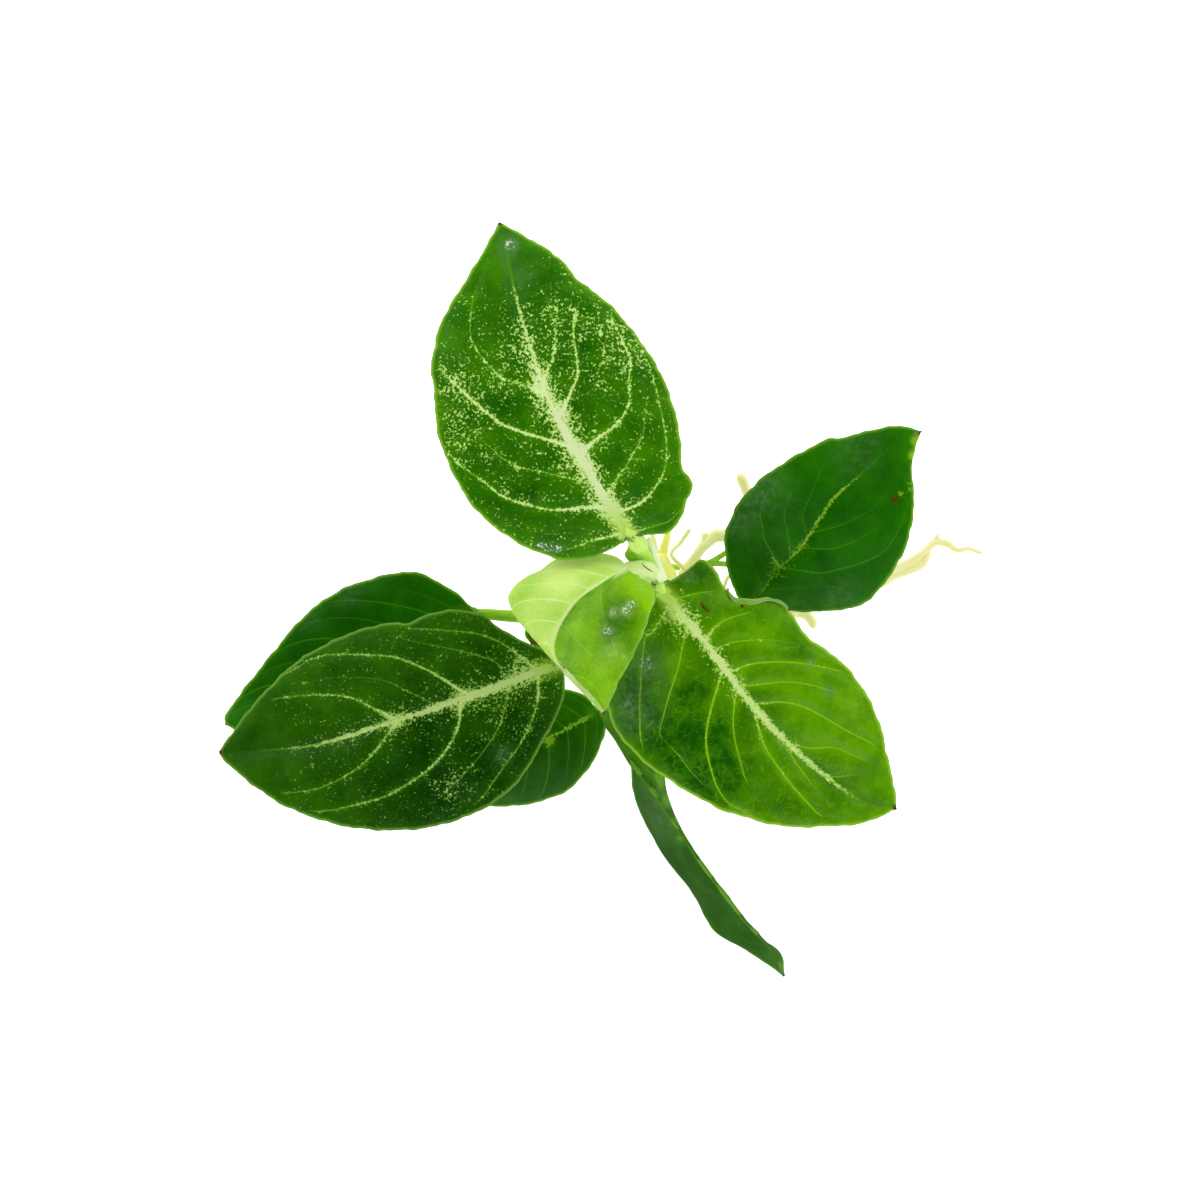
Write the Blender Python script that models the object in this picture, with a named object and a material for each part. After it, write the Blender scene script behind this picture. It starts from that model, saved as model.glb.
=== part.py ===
# A giant stardust anubias lying bare-rooted on a flat surface, as it is sold: a creeping rhizome cut at its
# old end, nine leaves on stalks, the sheath at its crown, and its roots. The surface is z = 0 and the frame's
# origin is under the middle of the plant. Places are written in millimetres, as (x, y, height).

import bisect
import math

import bmesh
import bpy
from mathutils import Vector

MM = 0.001
PLANT_CENTRE = Vector((0.5, -0.5, 0.0))  # the middle of the plant's outline in the places below

GAP = 0.3  # left between pieces that touch
BLADE_THICKNESS = 0.8
FOLDED_THICKNESS = 0.5  # thinner, because the folded leaf's halves hang close together
BLADE_ROWS = 12  # from the stalk to the tip
BLADE_COLUMNS = 6  # from margin to margin
SHEATH_THICKNESS = 0.6
SHEATH_COLUMNS = 4
SPAN_STEPS = 8  # how finely a smooth line is followed between two of its points

STALK_SIDES = 8
STALK_RINGS = 9
STALK_RADII = (1.6, 1.55, 1.45, 1.4, 1.1)  # from the clasping foot to the end under the blade
YOUNG_STALK_RADII = (1.6, 1.5, 1.4, 1.4, 1.6, 1.7)  # swollen where it opens at the crown
SMALL_STALK = 0.75  # the small leaf's stalk against the others

RHIZOME_SIDES = 12
RHIZOME_RINGS = 13
RHIZOME_RADII = (3.0, 3.9, 4.3, 4.5, 4.5, 4.6, 4.5)  # from the crown to the cut end

ROOT_SIDES = 6
ROOT_SPACING = 4.5  # between the rings of a root

LEAF_GREEN = (0.035, 0.13, 0.012)
BRIGHT_GREEN = (0.09, 0.30, 0.008)
YOUNG_GREEN = (0.42, 0.68, 0.09)
STALK_GREEN = (0.26, 0.50, 0.05)
RHIZOME_GREEN = (0.16, 0.20, 0.05)
ROOT_CREAM = (0.80, 0.76, 0.42)

# Each blade hangs between its midrib and its two margins, all from the stalk to the tip. Left and right are
# as seen from above, looking along the leaf to its tip. Crown is how far a half arches between midrib and
# margin, and left_crown is the left half's own where it differs. Lobe is how far the margins run ahead of the
# midrib, which turns the base into a heart shape.
LEAVES = {
    "upper_leaf": {
        "color": LEAF_GREEN,
        "crown": 1.2,
        "lobe": 1.35,
        "midrib": [(7, 14, 58), (0, 24.5, 61.5), (-6.5, 35.5, 63), (-12.5, 47.5, 62.5), (-18, 65, 58),
                   (-22.5, 85, 49)],
        "left": [(7, 14, 58), (3.5, 11.4, 57.5), (-1.3, 9.3, 57.5), (-5.8, 8.7, 57.5), (-10.4, 9.2, 57.5),
                 (-19.4, 13, 58), (-27.9, 20.1, 58.5), (-33.6, 29, 59), (-36.5, 37.5, 59.5),
                 (-37.2, 46, 59.5), (-38, 52.6, 59), (-36, 61.8, 58), (-31, 70.8, 56), (-26.4, 78.4, 53),
                 (-22.5, 85, 49)],
        "right": [(7, 14, 58), (11, 14.3, 58), (16.5, 15.3, 58), (19, 19.5, 59), (20.5, 25, 60),
                  (18.3, 33, 61), (15, 46.5, 60.5), (10, 55.5, 59.5), (3, 65, 58), (-5.3, 72.5, 55),
                  (-9, 76.8, 54), (-15.3, 81.1, 52), (-22.5, 85, 49)],
        "stalk": [(14, 3, 13), (13.8, 7.8, 15.5), (13, 9.2, 21), (11.5, 9.7, 30), (9.5, 11.5, 46),
                  (7.7, 12.8, 53), (6.8, 14.6, 55.6)],
    },
    "right_leaf": {
        "color": BRIGHT_GREEN,
        "crown": 1.2,
        "lobe": 1.35,
        "midrib": [(12.5, 3.5, 46), (19, -4, 46.5), (25, -11.5, 45.5), (35, -24.5, 42), (46.5, -36, 37),
                   (58.5, -45, 32), (67, -47, 30)],
        "left": [(12.5, 3.5, 46), (16, 4.5, 45.5), (20.2, 7.7, 44.5), (22.7, 9.3, 44), (25.3, 7.7, 43.5),
                 (29.2, 1.6, 42.5), (34, 0.6, 43), (38, 0.7, 43), (42, -1.2, 42.5), (46.8, -8, 41),
                 (54.5, -13.7, 39), (59.5, -19.8, 37.5), (63, -27.5, 36), (65, -35, 34), (66.8, -43, 31),
                 (67, -47, 30)],
        "right": [(12.5, 3.5, 46), (9, 0, 44.5), (4.5, -9, 42), (1.5, -19, 40.5), (2, -26.8, 40),
                  (6, -33, 40), (13.4, -39.4, 40), (23.2, -45.4, 39), (30.2, -48.4, 38.5),
                  (43.5, -51.4, 36), (57.7, -50.8, 32.5), (63.5, -49, 31), (67, -47, 30)],
        "stalk": [(14, 1, 12.5), (16, 1.3, 18), (15.5, 1.5, 26), (14, 2.5, 38), (13.3, 2.8, 42),
                  (13.8, 1.8, 43.6)],
    },
    "left_leaf": {
        "color": LEAF_GREEN,
        "crown": 1.2,
        "lobe": 1.35,
        "midrib": [(-9.5, -14.5, 40), (-17.5, -17.5, 39.5), (-30, -22, 38), (-47, -27.5, 35),
                   (-63.5, -32.5, 30), (-76, -34, 26), (-86.5, -34.5, 22)],
        "left": [(-9.5, -14.5, 40), (-7.8, -17.5, 39.5), (-8.6, -24, 38.5), (-12.8, -32.2, 37.5),
                 (-18.2, -41, 36.5), (-26.2, -47.2, 35.5), (-36.4, -51.1, 34), (-47, -52.2, 32.5),
                 (-57.7, -51.2, 31), (-69.3, -47.7, 28.5), (-77, -43.2, 26), (-84.3, -37.4, 23),
                 (-86.5, -34.5, 22)],
        "right": [(-9.5, -14.5, 40), (-10.8, -11.9, 39), (-15.2, -9.9, 38.4), (-22.9, -5.6, 37.9),
                  (-29.5, -2.3, 37.5), (-34.5, -2.2, 37), (-39, -3.2, 36.5), (-43, -4.9, 36),
                  (-50.5, -5.5, 34.7), (-58.5, -8.1, 33), (-68.2, -13.4, 30), (-77.2, -21.8, 26.5),
                  (-83.8, -30.4, 23), (-86.5, -34.5, 22)],
        "stalk": [(13, 2, 13.5), (8.5, -0.5, 17), (5.5, -3, 22), (-0.5, -9, 31), (-6, -13, 36),
                  (-10.5, -15, 37.4)],
    },
    "back_left_leaf": {
        "color": LEAF_GREEN,
        "crown": 0.8,
        "lobe": 1.2,
        "midrib": [(-28.5, -2.5, 20), (-36, -5.5, 20), (-45.5, -9.5, 18), (-59, -15.5, 14), (-73, -22, 8),
                   (-85.5, -28.5, 1)],
        "left": [(-28.5, -2.5, 20), (-29.5, -9, 18), (-34, -18, 15.5), (-43, -24.5, 13), (-57, -28.5, 10),
                 (-70.5, -30.5, 6), (-81, -30.5, 2.5), (-85.5, -28.5, 1)],
        "right": [(-28.5, -2.5, 20), (-32, 1.4, 19.5), (-40, 5.9, 18.5), (-46.7, 6.2, 17.5),
                  (-57.9, 3, 15.5), (-67, -3.1, 13), (-74, -11.1, 10), (-80.5, -19.2, 6.5),
                  (-85.3, -26, 2.5), (-85.5, -28.5, 1)],
        "stalk": [(15, 0, 11.5), (9, -2.2, 12), (4.5, -3.2, 13), (-9, -4.1, 16), (-19.5, -3.7, 17),
                  (-30.5, -3.2, 17.3)],
    },
    "lower_leaf": {
        "color": LEAF_GREEN,
        "crown": 0.8,
        "lobe": 1.2,
        "midrib": [(0, -25.5, 14), (-6, -28.5, 16), (-12.5, -32, 16.5), (-20.5, -36.5, 15),
                   (-29.5, -41.5, 11), (-37.5, -46, 7)],
        "left": [(0, -25.5, 14), (1.5, -29, 13), (-0.5, -35.5, 12), (-5.5, -42, 11), (-10, -45, 10.5),
                 (-18, -47, 9.5), (-26.5, -47.3, 8), (-33, -47, 7), (-37.5, -46, 7)],
        "right": [(0, -25.5, 14), (-3.5, -21.5, 15), (-10, -20, 15), (-19.5, -22.5, 14), (-28.5, -28.5, 12),
                  (-35, -36.5, 9), (-38, -42, 8), (-37.5, -46, 7)],
        "stalk": [(17.5, -3, 8), (9, -9.5, 9.5), (3, -20, 11), (-1.5, -26.5, 11.6)],
    },
    "far_right_leaf": {
        "color": LEAF_GREEN,
        "crown": 0.8,
        "lobe": 1.3,
        "midrib": [(35.5, 0, 31), (40, 6.5, 34), (45.5, 12, 36.5), (52, 22, 40), (58.5, 28, 41),
                   (65.5, 34.5, 41), (72.5, 38, 39.5)],
        "left": [(35.5, 0, 31), (32.6, -0.6, 31), (30.3, 1.8, 32), (28.8, 6.2, 33.5), (27.9, 12.4, 35.5),
                 (28.5, 16.5, 36.7), (31.8, 22.9, 38.2), (38.6, 29.3, 39.3), (49.9, 35.8, 40),
                 (55.2, 36.9, 40), (63.8, 39.1, 39.6), (69, 39.2, 39.5), (72.5, 38, 39.5)],
        "right": [(35.5, 0, 31), (38, -1.5, 30.5), (43.5, -2.7, 30), (52, -2.8, 31), (59.5, -1.1, 32),
                  (65, 4.4, 34), (69.3, 12.4, 36), (70.9, 21.5, 37.5), (70.5, 31, 38.5), (72.5, 38, 39.5)],
        "stalk": [(21, -5, 5.6), (28.5, -5, 13), (33, -2.5, 22), (35.5, 0.3, 28), (36.7, 2, 29.3)],
    },
    "folded_leaf": {
        "color": LEAF_GREEN,
        "crown": 0.6,
        "left_crown": 0.2,
        "lobe": 1.0,
        "thickness": FOLDED_THICKNESS,
        "midrib": [(7, -36.5, 25), (14, -46, 25), (19, -53.5, 24.5), (23, -59.5, 23.5), (27.5, -65.5, 21),
                   (32.5, -72, 17), (37, -77, 11), (40, -80.5, 6.6), (42, -86, 4)],
        "left": [(7, -36.5, 25), (13.6, -38, 19), (15, -43, 15.5), (17, -48.8, 12), (18.8, -53, 9.5),
                 (21.6, -58.2, 7), (25.8, -64.2, 4.8), (30.8, -70.8, 3), (35.8, -76.6, 3.5),
                 (41.4, -80.6, 3.6), (42, -86, 4)],
        "right": [(7, -36.5, 25), (7.3, -42, 15), (9.4, -49, 7), (13.1, -56.2, 3), (18, -63, 1.5),
                  (21.7, -68, 1), (23.7, -72.5, 0.9), (27.2, -76.7, 0.9), (33.5, -79.9, 0.9),
                  (38.5, -83.4, 2), (42, -86, 4)],
        "stalk": [(19.5, -4.2, 6.6), (12.5, -14, 8.5), (5.2, -21.2, 14), (1.9, -26.4, 17.5),
                  (4, -31, 20.6), (6.2, -34.8, 23)],
    },
    "young_leaf": {
        "color": YOUNG_GREEN,
        "crown": 0.5,
        "left_crown": -2.0,
        "lobe": 1.0,
        "midrib": [(6.2, 7.8, 53.4), (3.8, 6, 55.5), (0.5, 4, 57.8), (-4.5, 0.5, 60), (-8.5, -4.5, 60),
                   (-10.5, -9.5, 58.5), (-10, -13.5, 56), (-6.5, -17.5, 52.5), (-2, -22, 49),
                   (1, -25.5, 46.5)],
        "left": [(6.2, 7.8, 53.4), (7.4, 6.5, 53), (9.4, 4.9, 51.8), (11.3, 4.4, 51), (12.4, 3, 50.6),
                 (12.5, 0.6, 50.8), (11.6, -2.7, 51.3), (10.1, -6.7, 51.2), (8.6, -10.4, 50.8),
                 (6.8, -13.9, 50), (4, -19, 48.7), (2.1, -23.2, 47.2), (1, -25.5, 46.5)],
        "right": [(6.2, 7.8, 53.4), (4.6, 9.3, 52.8), (2.3, 10.3, 52.8), (-2, 10.8, 53), (-9.2, 9.5, 52.2),
                  (-13.4, 7.2, 50.8), (-17.3, 5.2, 49.7), (-19.8, 2.8, 48.6), (-20.8, 0, 48),
                  (-18.7, -4.6, 48), (-14, -9.6, 48.5), (-11.3, -12.8, 48), (-8, -16.7, 47.5),
                  (-3.5, -21.7, 47), (1, -25.5, 46.5)],
        "stalk": [(12, 3.5, 15), (11.3, 3.8, 20), (10.8, 3.5, 30), (10.6, 5, 41), (11.6, 6, 46.5),
                  (10.6, 7.1, 50), (9.2, 7.6, 51.2)],
    },
    "small_leaf": {
        "color": LEAF_GREEN,
        "crown": 0.3,
        "lobe": 1.0,
        "midrib": [(1, 0.5, 40), (-3.5, -2, 42.5), (-8.5, -5.5, 43.3), (-12.5, -8.5, 43), (-15.5, -10, 42.7)],
        "left": [(1, 0.5, 40), (0, -3.5, 41.5), (-3.5, -7, 42.3), (-8, -10, 42.6), (-12.5, -11.3, 42.7),
                 (-15.5, -10, 42.7)],
        "right": [(1, 0.5, 40), (-2, 1.5, 41.5), (-8, 0, 42.5), (-13.5, -2.5, 42.7), (-16.5, -6, 42.7),
                  (-17, -8, 42.7), (-15.5, -10, 42.7)],
        "stalk": [(12, 2.3, 14), (7.6, 3.3, 15.3), (6, 3, 24), (2.5, 1, 34.5), (0.5, 0.2, 37.8)],
    },
}

SHEATH = {
    "color": YOUNG_GREEN,
    "crown": 0.6,
    "lobe": 1.0,
    "midrib": [(12.2, 6, 24), (12.4, 6.9, 32), (11.8, 8.3, 42), (9.8, 9.6, 48.5), (8.2, 10, 51.2),
               (6.2, 10.4, 52.6)],
    "left": [(12.2, 6, 24), (9.9, 7.2, 33), (8, 8.7, 43), (6.6, 9.3, 49), (6.2, 10.4, 52.6)],
    "right": [(12.2, 6, 24), (14.4, 5, 34), (14.5, 5.8, 42), (13.6, 7.6, 46), (12.6, 9.2, 48.3),
              (11, 10.2, 50.2), (8.6, 10.3, 51.8), (6.2, 10.4, 52.6)],
}

RHIZOME = [(11.5, 4, 15.5), (14, 1, 12.5), (17, -2.5, 8.5), (21, -5, 5.5), (25.5, -7.5, 4.4),
           (30.5, -9.5, 4.2), (34.5, -11, 4.2)]

# Each root runs through its places, and its radii are evenly spaced along it. A fork starts inside the root
# it grows from, which it is then cut clear of.
ROOTS = {
    "upper_root": {"radii": (1.7, 1.6, 1.5),
                   "path": [(15, 2, 9), (15.8, 4.6, 7.5), (14.6, 7.8, 6.2), (13.6, 10.8, 5.5)]},
    "upper_root_left_fork": {"radii": (0.4, 0.4), "grows_from": "upper_root",
                             "path": [(13.1, 9.6, 5.6), (12.6, 11.9, 5.3), (12, 14.3, 5), (9, 23, 3.5),
                                      (7.5, 31, 1.2)]},
    "upper_root_right_fork": {"radii": (1.0, 0.6, 0.5, 0.45, 0.4), "grows_from": "upper_root",
                              "path": [(14.2, 10, 5.7), (15.3, 14.8, 5), (15.9, 20.5, 3.5), (13.5, 28.5, 2),
                                       (13, 36.5, 0.5)]},
    "middle_root": {"radii": (1.1, 1.0, 1.0, 1.1, 1.3, 1.1),
                    "path": [(20, -4, 6), (18.7, 2, 6), (18.9, 5.8, 5.7), (21, 8.7, 5.3), (23.5, 12.1, 5),
                             (26, 14.4, 4.5), (28.9, 15, 4), (34, 18, 3.5)]},
    "middle_root_stub": {"radii": (0.6, 0.45), "grows_from": "middle_root",
                         "path": [(23.6, 12.3, 5), (23.9, 14.2, 5), (23.8, 15.5, 5)]},
    "middle_root_tip": {"radii": (0.9, 1.1, 0.9), "grows_from": "middle_root",
                        "path": [(33.5, 17.7, 3.5), (35, 21, 4), (33.5, 24.6, 4.5), (31.6, 28.9, 5)]},
    "bent_root": {"radii": (0.5, 0.5, 0.4, 0.35), "grows_from": "middle_root",
                  "path": [(19.6, 6.4, 5.6), (18.8, 7.5, 7), (16.2, 10.4, 8), (18.4, 13.2, 7.5),
                           (20.6, 16.2, 7)]},
    "long_root": {"radii": (1.6, 1.7, 1.8, 1.8, 1.1, 0.95, 1.1, 1.2, 1.0, 0.85, 0.7, 0.4),
                  "path": [(31, -9.5, 4.5), (38.5, -5, 4), (49, 0, 3.5), (59, 2.8, 3), (65.5, 6.3, 2.5),
                           (69.2, 7.9, 2.3), (72, 9.4, 2.1), (76.3, 13, 1.8), (78.8, 12.9, 1.4),
                           (81.3, 11.4, 1.1), (83.6, 11.7, 0.9), (87.4, 10.8, 0.6)]},
    "long_root_fork": {"radii": (0.9, 0.95, 0.9, 0.8), "grows_from": "long_root",
                       "path": [(61, 2.2, 2.8), (66.5, 4.9, 2.3), (69.8, 6.2, 2.2), (72.8, 7.4, 2.1),
                                (74.6, 9.4, 2), (75.6, 12, 1.9)]},
    "long_root_spur": {"radii": (0.7, 0.4), "grows_from": "long_root",
                       "path": [(76.3, 12.9, 1.7), (76.8, 14.2, 1.8), (77, 15.1, 1.8)]},
    "long_root_side": {"radii": (0.9, 0.8), "grows_from": "long_root",
                       "path": [(41, -4, 4), (45.5, -2.7, 3.5), (48, -4.5, 3.2), (49, -6.5, 3)]},
    "green_root": {"radii": (0.6, 0.6),
                   "path": [(18, -3, 7), (14.5, 3, 3), (15, 7.5, 2.8), (18.2, 7.4, 3), (21, 8.1, 3.4),
                            (24.6, 8.4, 4), (28.7, 10.7, 4.5), (32.5, 12.5, 5)]},
    "green_root_fork": {"radii": (0.55, 0.5), "grows_from": "green_root",
                        "path": [(24.3, 8.3, 4), (28.9, 8.2, 4), (33, 8, 4)]},
    "thin_root": {"radii": (0.4, 0.35),
                  "path": [(25.5, -7, 5), (28.5, 3.6, 5.5), (29.8, 5.9, 6), (32, 9.2, 6.5)]},
}


def scene_place(point):
    """A place in millimetres as a point of the scene, in metres."""
    return (Vector(point) - PLANT_CENTRE) * MM


class SmoothLine:
    """A smooth line through the given places. at(0) is its start and at(1) its end, at an even pace."""

    def __init__(self, places):
        knots = [scene_place(place) for place in places]
        knots = [2 * knots[0] - knots[1], *knots, 2 * knots[-1] - knots[-2]]
        self.points = [knots[1]]
        for a, b, c, d in zip(knots, knots[1:], knots[2:], knots[3:]):
            for step in range(1, SPAN_STEPS + 1):
                u = step / SPAN_STEPS
                bend = (2 * a - 5 * b + 4 * c - d) * u**2 + (3 * b - a - 3 * c + d) * u**3
                self.points.append(b + ((c - a) * u + bend) / 2)
        self.reach = [0.0]
        for start, end in zip(self.points, self.points[1:]):
            self.reach.append(self.reach[-1] + (end - start).length)

    @property
    def length(self):
        return self.reach[-1]

    def at(self, share):
        wanted = min(max(share, 0.0), 1.0) * self.length
        i = min(max(bisect.bisect_left(self.reach, wanted), 1), len(self.reach) - 1)
        before, after = self.reach[i - 1], self.reach[i]
        return self.points[i - 1].lerp(self.points[i], (wanted - before) / max(after - before, 1e-12))

    def heading(self, share):
        step = 0.02
        return (self.at(share + step) - self.at(share - step)).normalized()


def value_along(values, share):
    """The value at a share of the way through evenly spaced ones."""
    place = share * (len(values) - 1)
    i = min(int(place), len(values) - 2)
    return values[i] + (values[i + 1] - values[i]) * (place - i)


def plain_material(name, color, roughness=0.4):
    material = bpy.data.materials.new(name)
    material.use_nodes = True
    shader = material.node_tree.nodes["Principled BSDF"]
    shader.inputs["Base Color"].default_value = (*color, 1.0)
    shader.inputs["Roughness"].default_value = roughness
    shader.inputs["Metallic"].default_value = 0.0
    return material


def add_object(name, mesh, color):
    thing = bpy.data.objects.new(name, mesh)
    bpy.context.scene.collection.objects.link(thing)
    mesh.materials.clear()
    mesh.materials.append(plain_material(name + "_finish", color))
    mesh.shade_smooth()
    return thing


def blade(name, leaf, thickness, columns):
    """A thin sheet bent over the leaf's three lines, with its thickness below."""
    midrib, left, right = (SmoothLine(leaf[line]) for line in ("midrib", "left", "right"))
    sheet = bmesh.new()
    bmesh.ops.create_grid(sheet, x_segments=columns, y_segments=BLADE_ROWS, size=1)
    for vertex in sheet.verts:
        along, across = (vertex.co.y + 1) / 2, vertex.co.x
        share = along ** leaf["lobe"]
        middle = midrib.at(share)
        margin = (right if across > 0 else left).at(along)
        outward = (margin - middle) * (1 if across > 0 else -1)
        above = outward.cross(midrib.heading(share)).normalized()
        arch = 4 * abs(across) * (1 - abs(across)) * math.sin(math.pi * along)
        crown = leaf["crown"] if across > 0 else leaf.get("left_crown", leaf["crown"])
        vertex.co = middle.lerp(margin, abs(across)) + above * arch * crown * MM
    bmesh.ops.remove_doubles(sheet, verts=sheet.verts, dist=0.01 * MM)
    mesh = bpy.data.meshes.new(name)
    sheet.to_mesh(mesh)
    sheet.free()
    leaf_blade = add_object(name, mesh, leaf["color"])
    wall = leaf_blade.modifiers.new("thickness", "SOLIDIFY")
    wall.thickness = thickness * MM
    wall.offset = -1
    return leaf_blade


def tube(name, places, radii, rings, sides, color):
    """A round piece along a smooth line, closed at both ends. Its radii are evenly spaced along it."""
    line = SmoothLine(places)
    curve = bpy.data.curves.new(name, "CURVE")
    curve.dimensions = "3D"
    curve.bevel_depth = MM
    curve.bevel_resolution = (sides - 4) // 2
    curve.use_fill_caps = True
    spline = curve.splines.new("POLY")
    spline.points.add(rings - 1)
    for i, point in enumerate(spline.points):
        point.co = (*line.at(i / (rings - 1)), 1.0)
        point.radius = value_along(radii, i / (rings - 1))
    guide = bpy.data.objects.new(name + "_line", curve)
    bpy.context.scene.collection.objects.link(guide)
    graph = bpy.context.evaluated_depsgraph_get()
    mesh = bpy.data.meshes.new_from_object(guide.evaluated_get(graph))
    bpy.data.objects.remove(guide)
    skin = bmesh.new()
    skin.from_mesh(mesh)
    bmesh.ops.remove_doubles(skin, verts=skin.verts, dist=0.01 * MM)
    bmesh.ops.recalc_face_normals(skin, faces=skin.faces)
    skin.to_mesh(mesh)
    skin.free()
    mesh.name = name
    return add_object(name, mesh, color)


def cutter_round(name, places, radii, rings, sides):
    """A tube around another, wider and longer by the gap."""
    first, last = Vector(places[0]), Vector(places[-1])
    start = first + (first - Vector(places[1])).normalized() * GAP
    end = last + (last - Vector(places[-2])).normalized() * GAP
    wider = [radius + GAP for radius in radii]
    cutter = tube(name, [start, *places[1:-1], end], wider, rings, sides, ROOT_CREAM)
    cutter.hide_render = True
    cutter.display_type = "WIRE"
    return cutter


def cut_clear(thing, cutter):
    cut = thing.modifiers.new("clear_of_" + cutter.name, "BOOLEAN")
    cut.operation = "DIFFERENCE"
    cut.object = cutter


def rhizome():
    """The stem lies on the surface on a narrow flat, where it would be tied or glued to wood or stone."""
    stem = tube("rhizome", RHIZOME, RHIZOME_RADII, RHIZOME_RINGS, RHIZOME_SIDES, RHIZOME_GREEN)
    skin = bmesh.new()
    skin.from_mesh(stem.data)
    everything = [*skin.verts, *skin.edges, *skin.faces]
    bmesh.ops.bisect_plane(
        skin, geom=everything, dist=1e-7, plane_co=(0, 0, 0), plane_no=(0, 0, -1), clear_outer=True
    )
    bmesh.ops.holes_fill(skin, edges=[edge for edge in skin.edges if edge.is_boundary])
    bmesh.ops.recalc_face_normals(skin, faces=skin.faces)
    skin.to_mesh(stem.data)
    skin.free()
    return cutter_round("rhizome_cutter", RHIZOME, RHIZOME_RADII, RHIZOME_RINGS, RHIZOME_SIDES)


def leaves(rhizome_cutter):
    for name, leaf in LEAVES.items():
        blade(name, leaf, leaf.get("thickness", BLADE_THICKNESS), BLADE_COLUMNS)
        size = SMALL_STALK if name == "small_leaf" else 1.0
        plain = YOUNG_STALK_RADII if name == "young_leaf" else STALK_RADII
        radii = [radius * size for radius in plain]
        stalk = tube(name + "_stalk", leaf["stalk"], radii, STALK_RINGS, STALK_SIDES, STALK_GREEN)
        cut_clear(stalk, rhizome_cutter)
    blade("leaf_sheath", SHEATH, SHEATH_THICKNESS, SHEATH_COLUMNS)


def roots(rhizome_cutter):
    cutters = {None: rhizome_cutter}
    for name, root in ROOTS.items():
        rings = max(3, round(SmoothLine(root["path"]).length / MM / ROOT_SPACING) + 1)
        color = STALK_GREEN if name.startswith("green") else ROOT_CREAM
        piece = tube(name, root["path"], root["radii"], rings, ROOT_SIDES, color)
        cut_clear(piece, cutters[root.get("grows_from")])
        if any(name == other.get("grows_from") for other in ROOTS.values()):
            cutters[name] = cutter_round(name + "_cutter", root["path"], root["radii"], rings, ROOT_SIDES)


def main():
    for thing in list(bpy.data.objects):
        bpy.data.objects.remove(thing)
    rhizome_cutter = rhizome()
    leaves(rhizome_cutter)
    roots(rhizome_cutter)


main()
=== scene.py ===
import bmesh
import bpy
import numpy as np
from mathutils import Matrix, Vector
from mathutils.bvhtree import BVHTree


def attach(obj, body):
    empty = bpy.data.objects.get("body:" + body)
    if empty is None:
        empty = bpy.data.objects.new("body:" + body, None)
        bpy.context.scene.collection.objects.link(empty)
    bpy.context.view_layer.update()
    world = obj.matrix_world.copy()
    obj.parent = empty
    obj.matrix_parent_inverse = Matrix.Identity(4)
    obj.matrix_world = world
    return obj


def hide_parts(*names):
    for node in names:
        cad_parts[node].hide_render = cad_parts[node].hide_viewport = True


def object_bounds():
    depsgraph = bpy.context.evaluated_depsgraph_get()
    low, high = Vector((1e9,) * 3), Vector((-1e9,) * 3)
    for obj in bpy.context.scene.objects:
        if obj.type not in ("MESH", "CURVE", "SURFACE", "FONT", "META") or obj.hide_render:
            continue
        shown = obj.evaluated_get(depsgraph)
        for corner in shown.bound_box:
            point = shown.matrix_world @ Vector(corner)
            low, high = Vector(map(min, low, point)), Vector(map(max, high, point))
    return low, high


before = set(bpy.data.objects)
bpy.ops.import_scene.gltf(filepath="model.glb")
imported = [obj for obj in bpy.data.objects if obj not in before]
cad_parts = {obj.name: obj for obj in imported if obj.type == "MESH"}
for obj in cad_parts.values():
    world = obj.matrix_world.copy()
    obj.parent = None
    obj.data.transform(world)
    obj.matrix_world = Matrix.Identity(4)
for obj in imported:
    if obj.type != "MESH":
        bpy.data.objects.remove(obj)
cadLow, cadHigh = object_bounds()

mm = 0.001
mergeWithin = 0.004 * mm
plantCentre = np.array([0.5, -0.5, 0.0])  # taken off every place below, which are in millimetres


# lines and sheets

def smoothPath(places, steps=40):
    # a dense smooth run of points through the places, with how far along each lies from 0 to 1
    knots = (np.array(places, float) - plantCentre) * mm
    knots = np.vstack([2 * knots[0] - knots[1], knots, 2 * knots[-1] - knots[-2]])
    a, b, c, d = knots[:-3], knots[1:-2], knots[2:-1], knots[3:]
    u = (np.arange(steps) / steps)[:, None, None]
    points = b + ((c - a) * u + (2 * a - 5 * b + 4 * c - d) * u**2 + (3 * b - a - 3 * c + d) * u**3) / 2
    points = np.vstack([points.transpose(1, 0, 2).reshape(-1, 3), knots[-2]])
    reach = np.concatenate([[0], np.cumsum(np.linalg.norm(np.diff(points, axis=0), axis=1))])
    return {"points": points, "share": reach / reach[-1], "length": reach[-1]}


def pointOn(path, share):
    return np.stack([np.interp(share, path["share"], path["points"][:, k]) for k in range(3)], axis=-1)


def unit(vectors):
    return vectors / np.maximum(np.linalg.norm(vectors, axis=-1, keepdims=True), 1e-12)


def ease(value, low, high):
    t = np.clip((value - low) / (high - low), 0, 1)
    return t * t * (3 - 2 * t)


def gentle(points, size, seed):
    # a slow smooth ripple between -1 and 1, about size millimetres from crest to crest
    q = points / mm * (2 * np.pi / size)
    a = np.sin(q[:, 0] + 1.7 * seed) * np.cos(0.83 * q[:, 1] + 0.6 * seed + 0.5 * q[:, 2])
    b = np.sin(0.57 * q[:, 0] - 0.71 * q[:, 1] + 2.3 * seed)
    return 0.6 * a + 0.4 * b


def gridMesh(name, columns, rows):
    sheet = bmesh.new()
    bmesh.ops.create_grid(sheet, x_segments=columns, y_segments=rows, size=1)
    mesh = bpy.data.meshes.new(name)
    sheet.to_mesh(mesh)
    sheet.free()
    flat = np.zeros(len(mesh.vertices) * 3, np.float32)
    mesh.vertices.foreach_get("co", flat)
    flat = flat.reshape(-1, 3).astype(float)
    return mesh, flat[:, 0], (flat[:, 1] + 1) / 2


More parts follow.
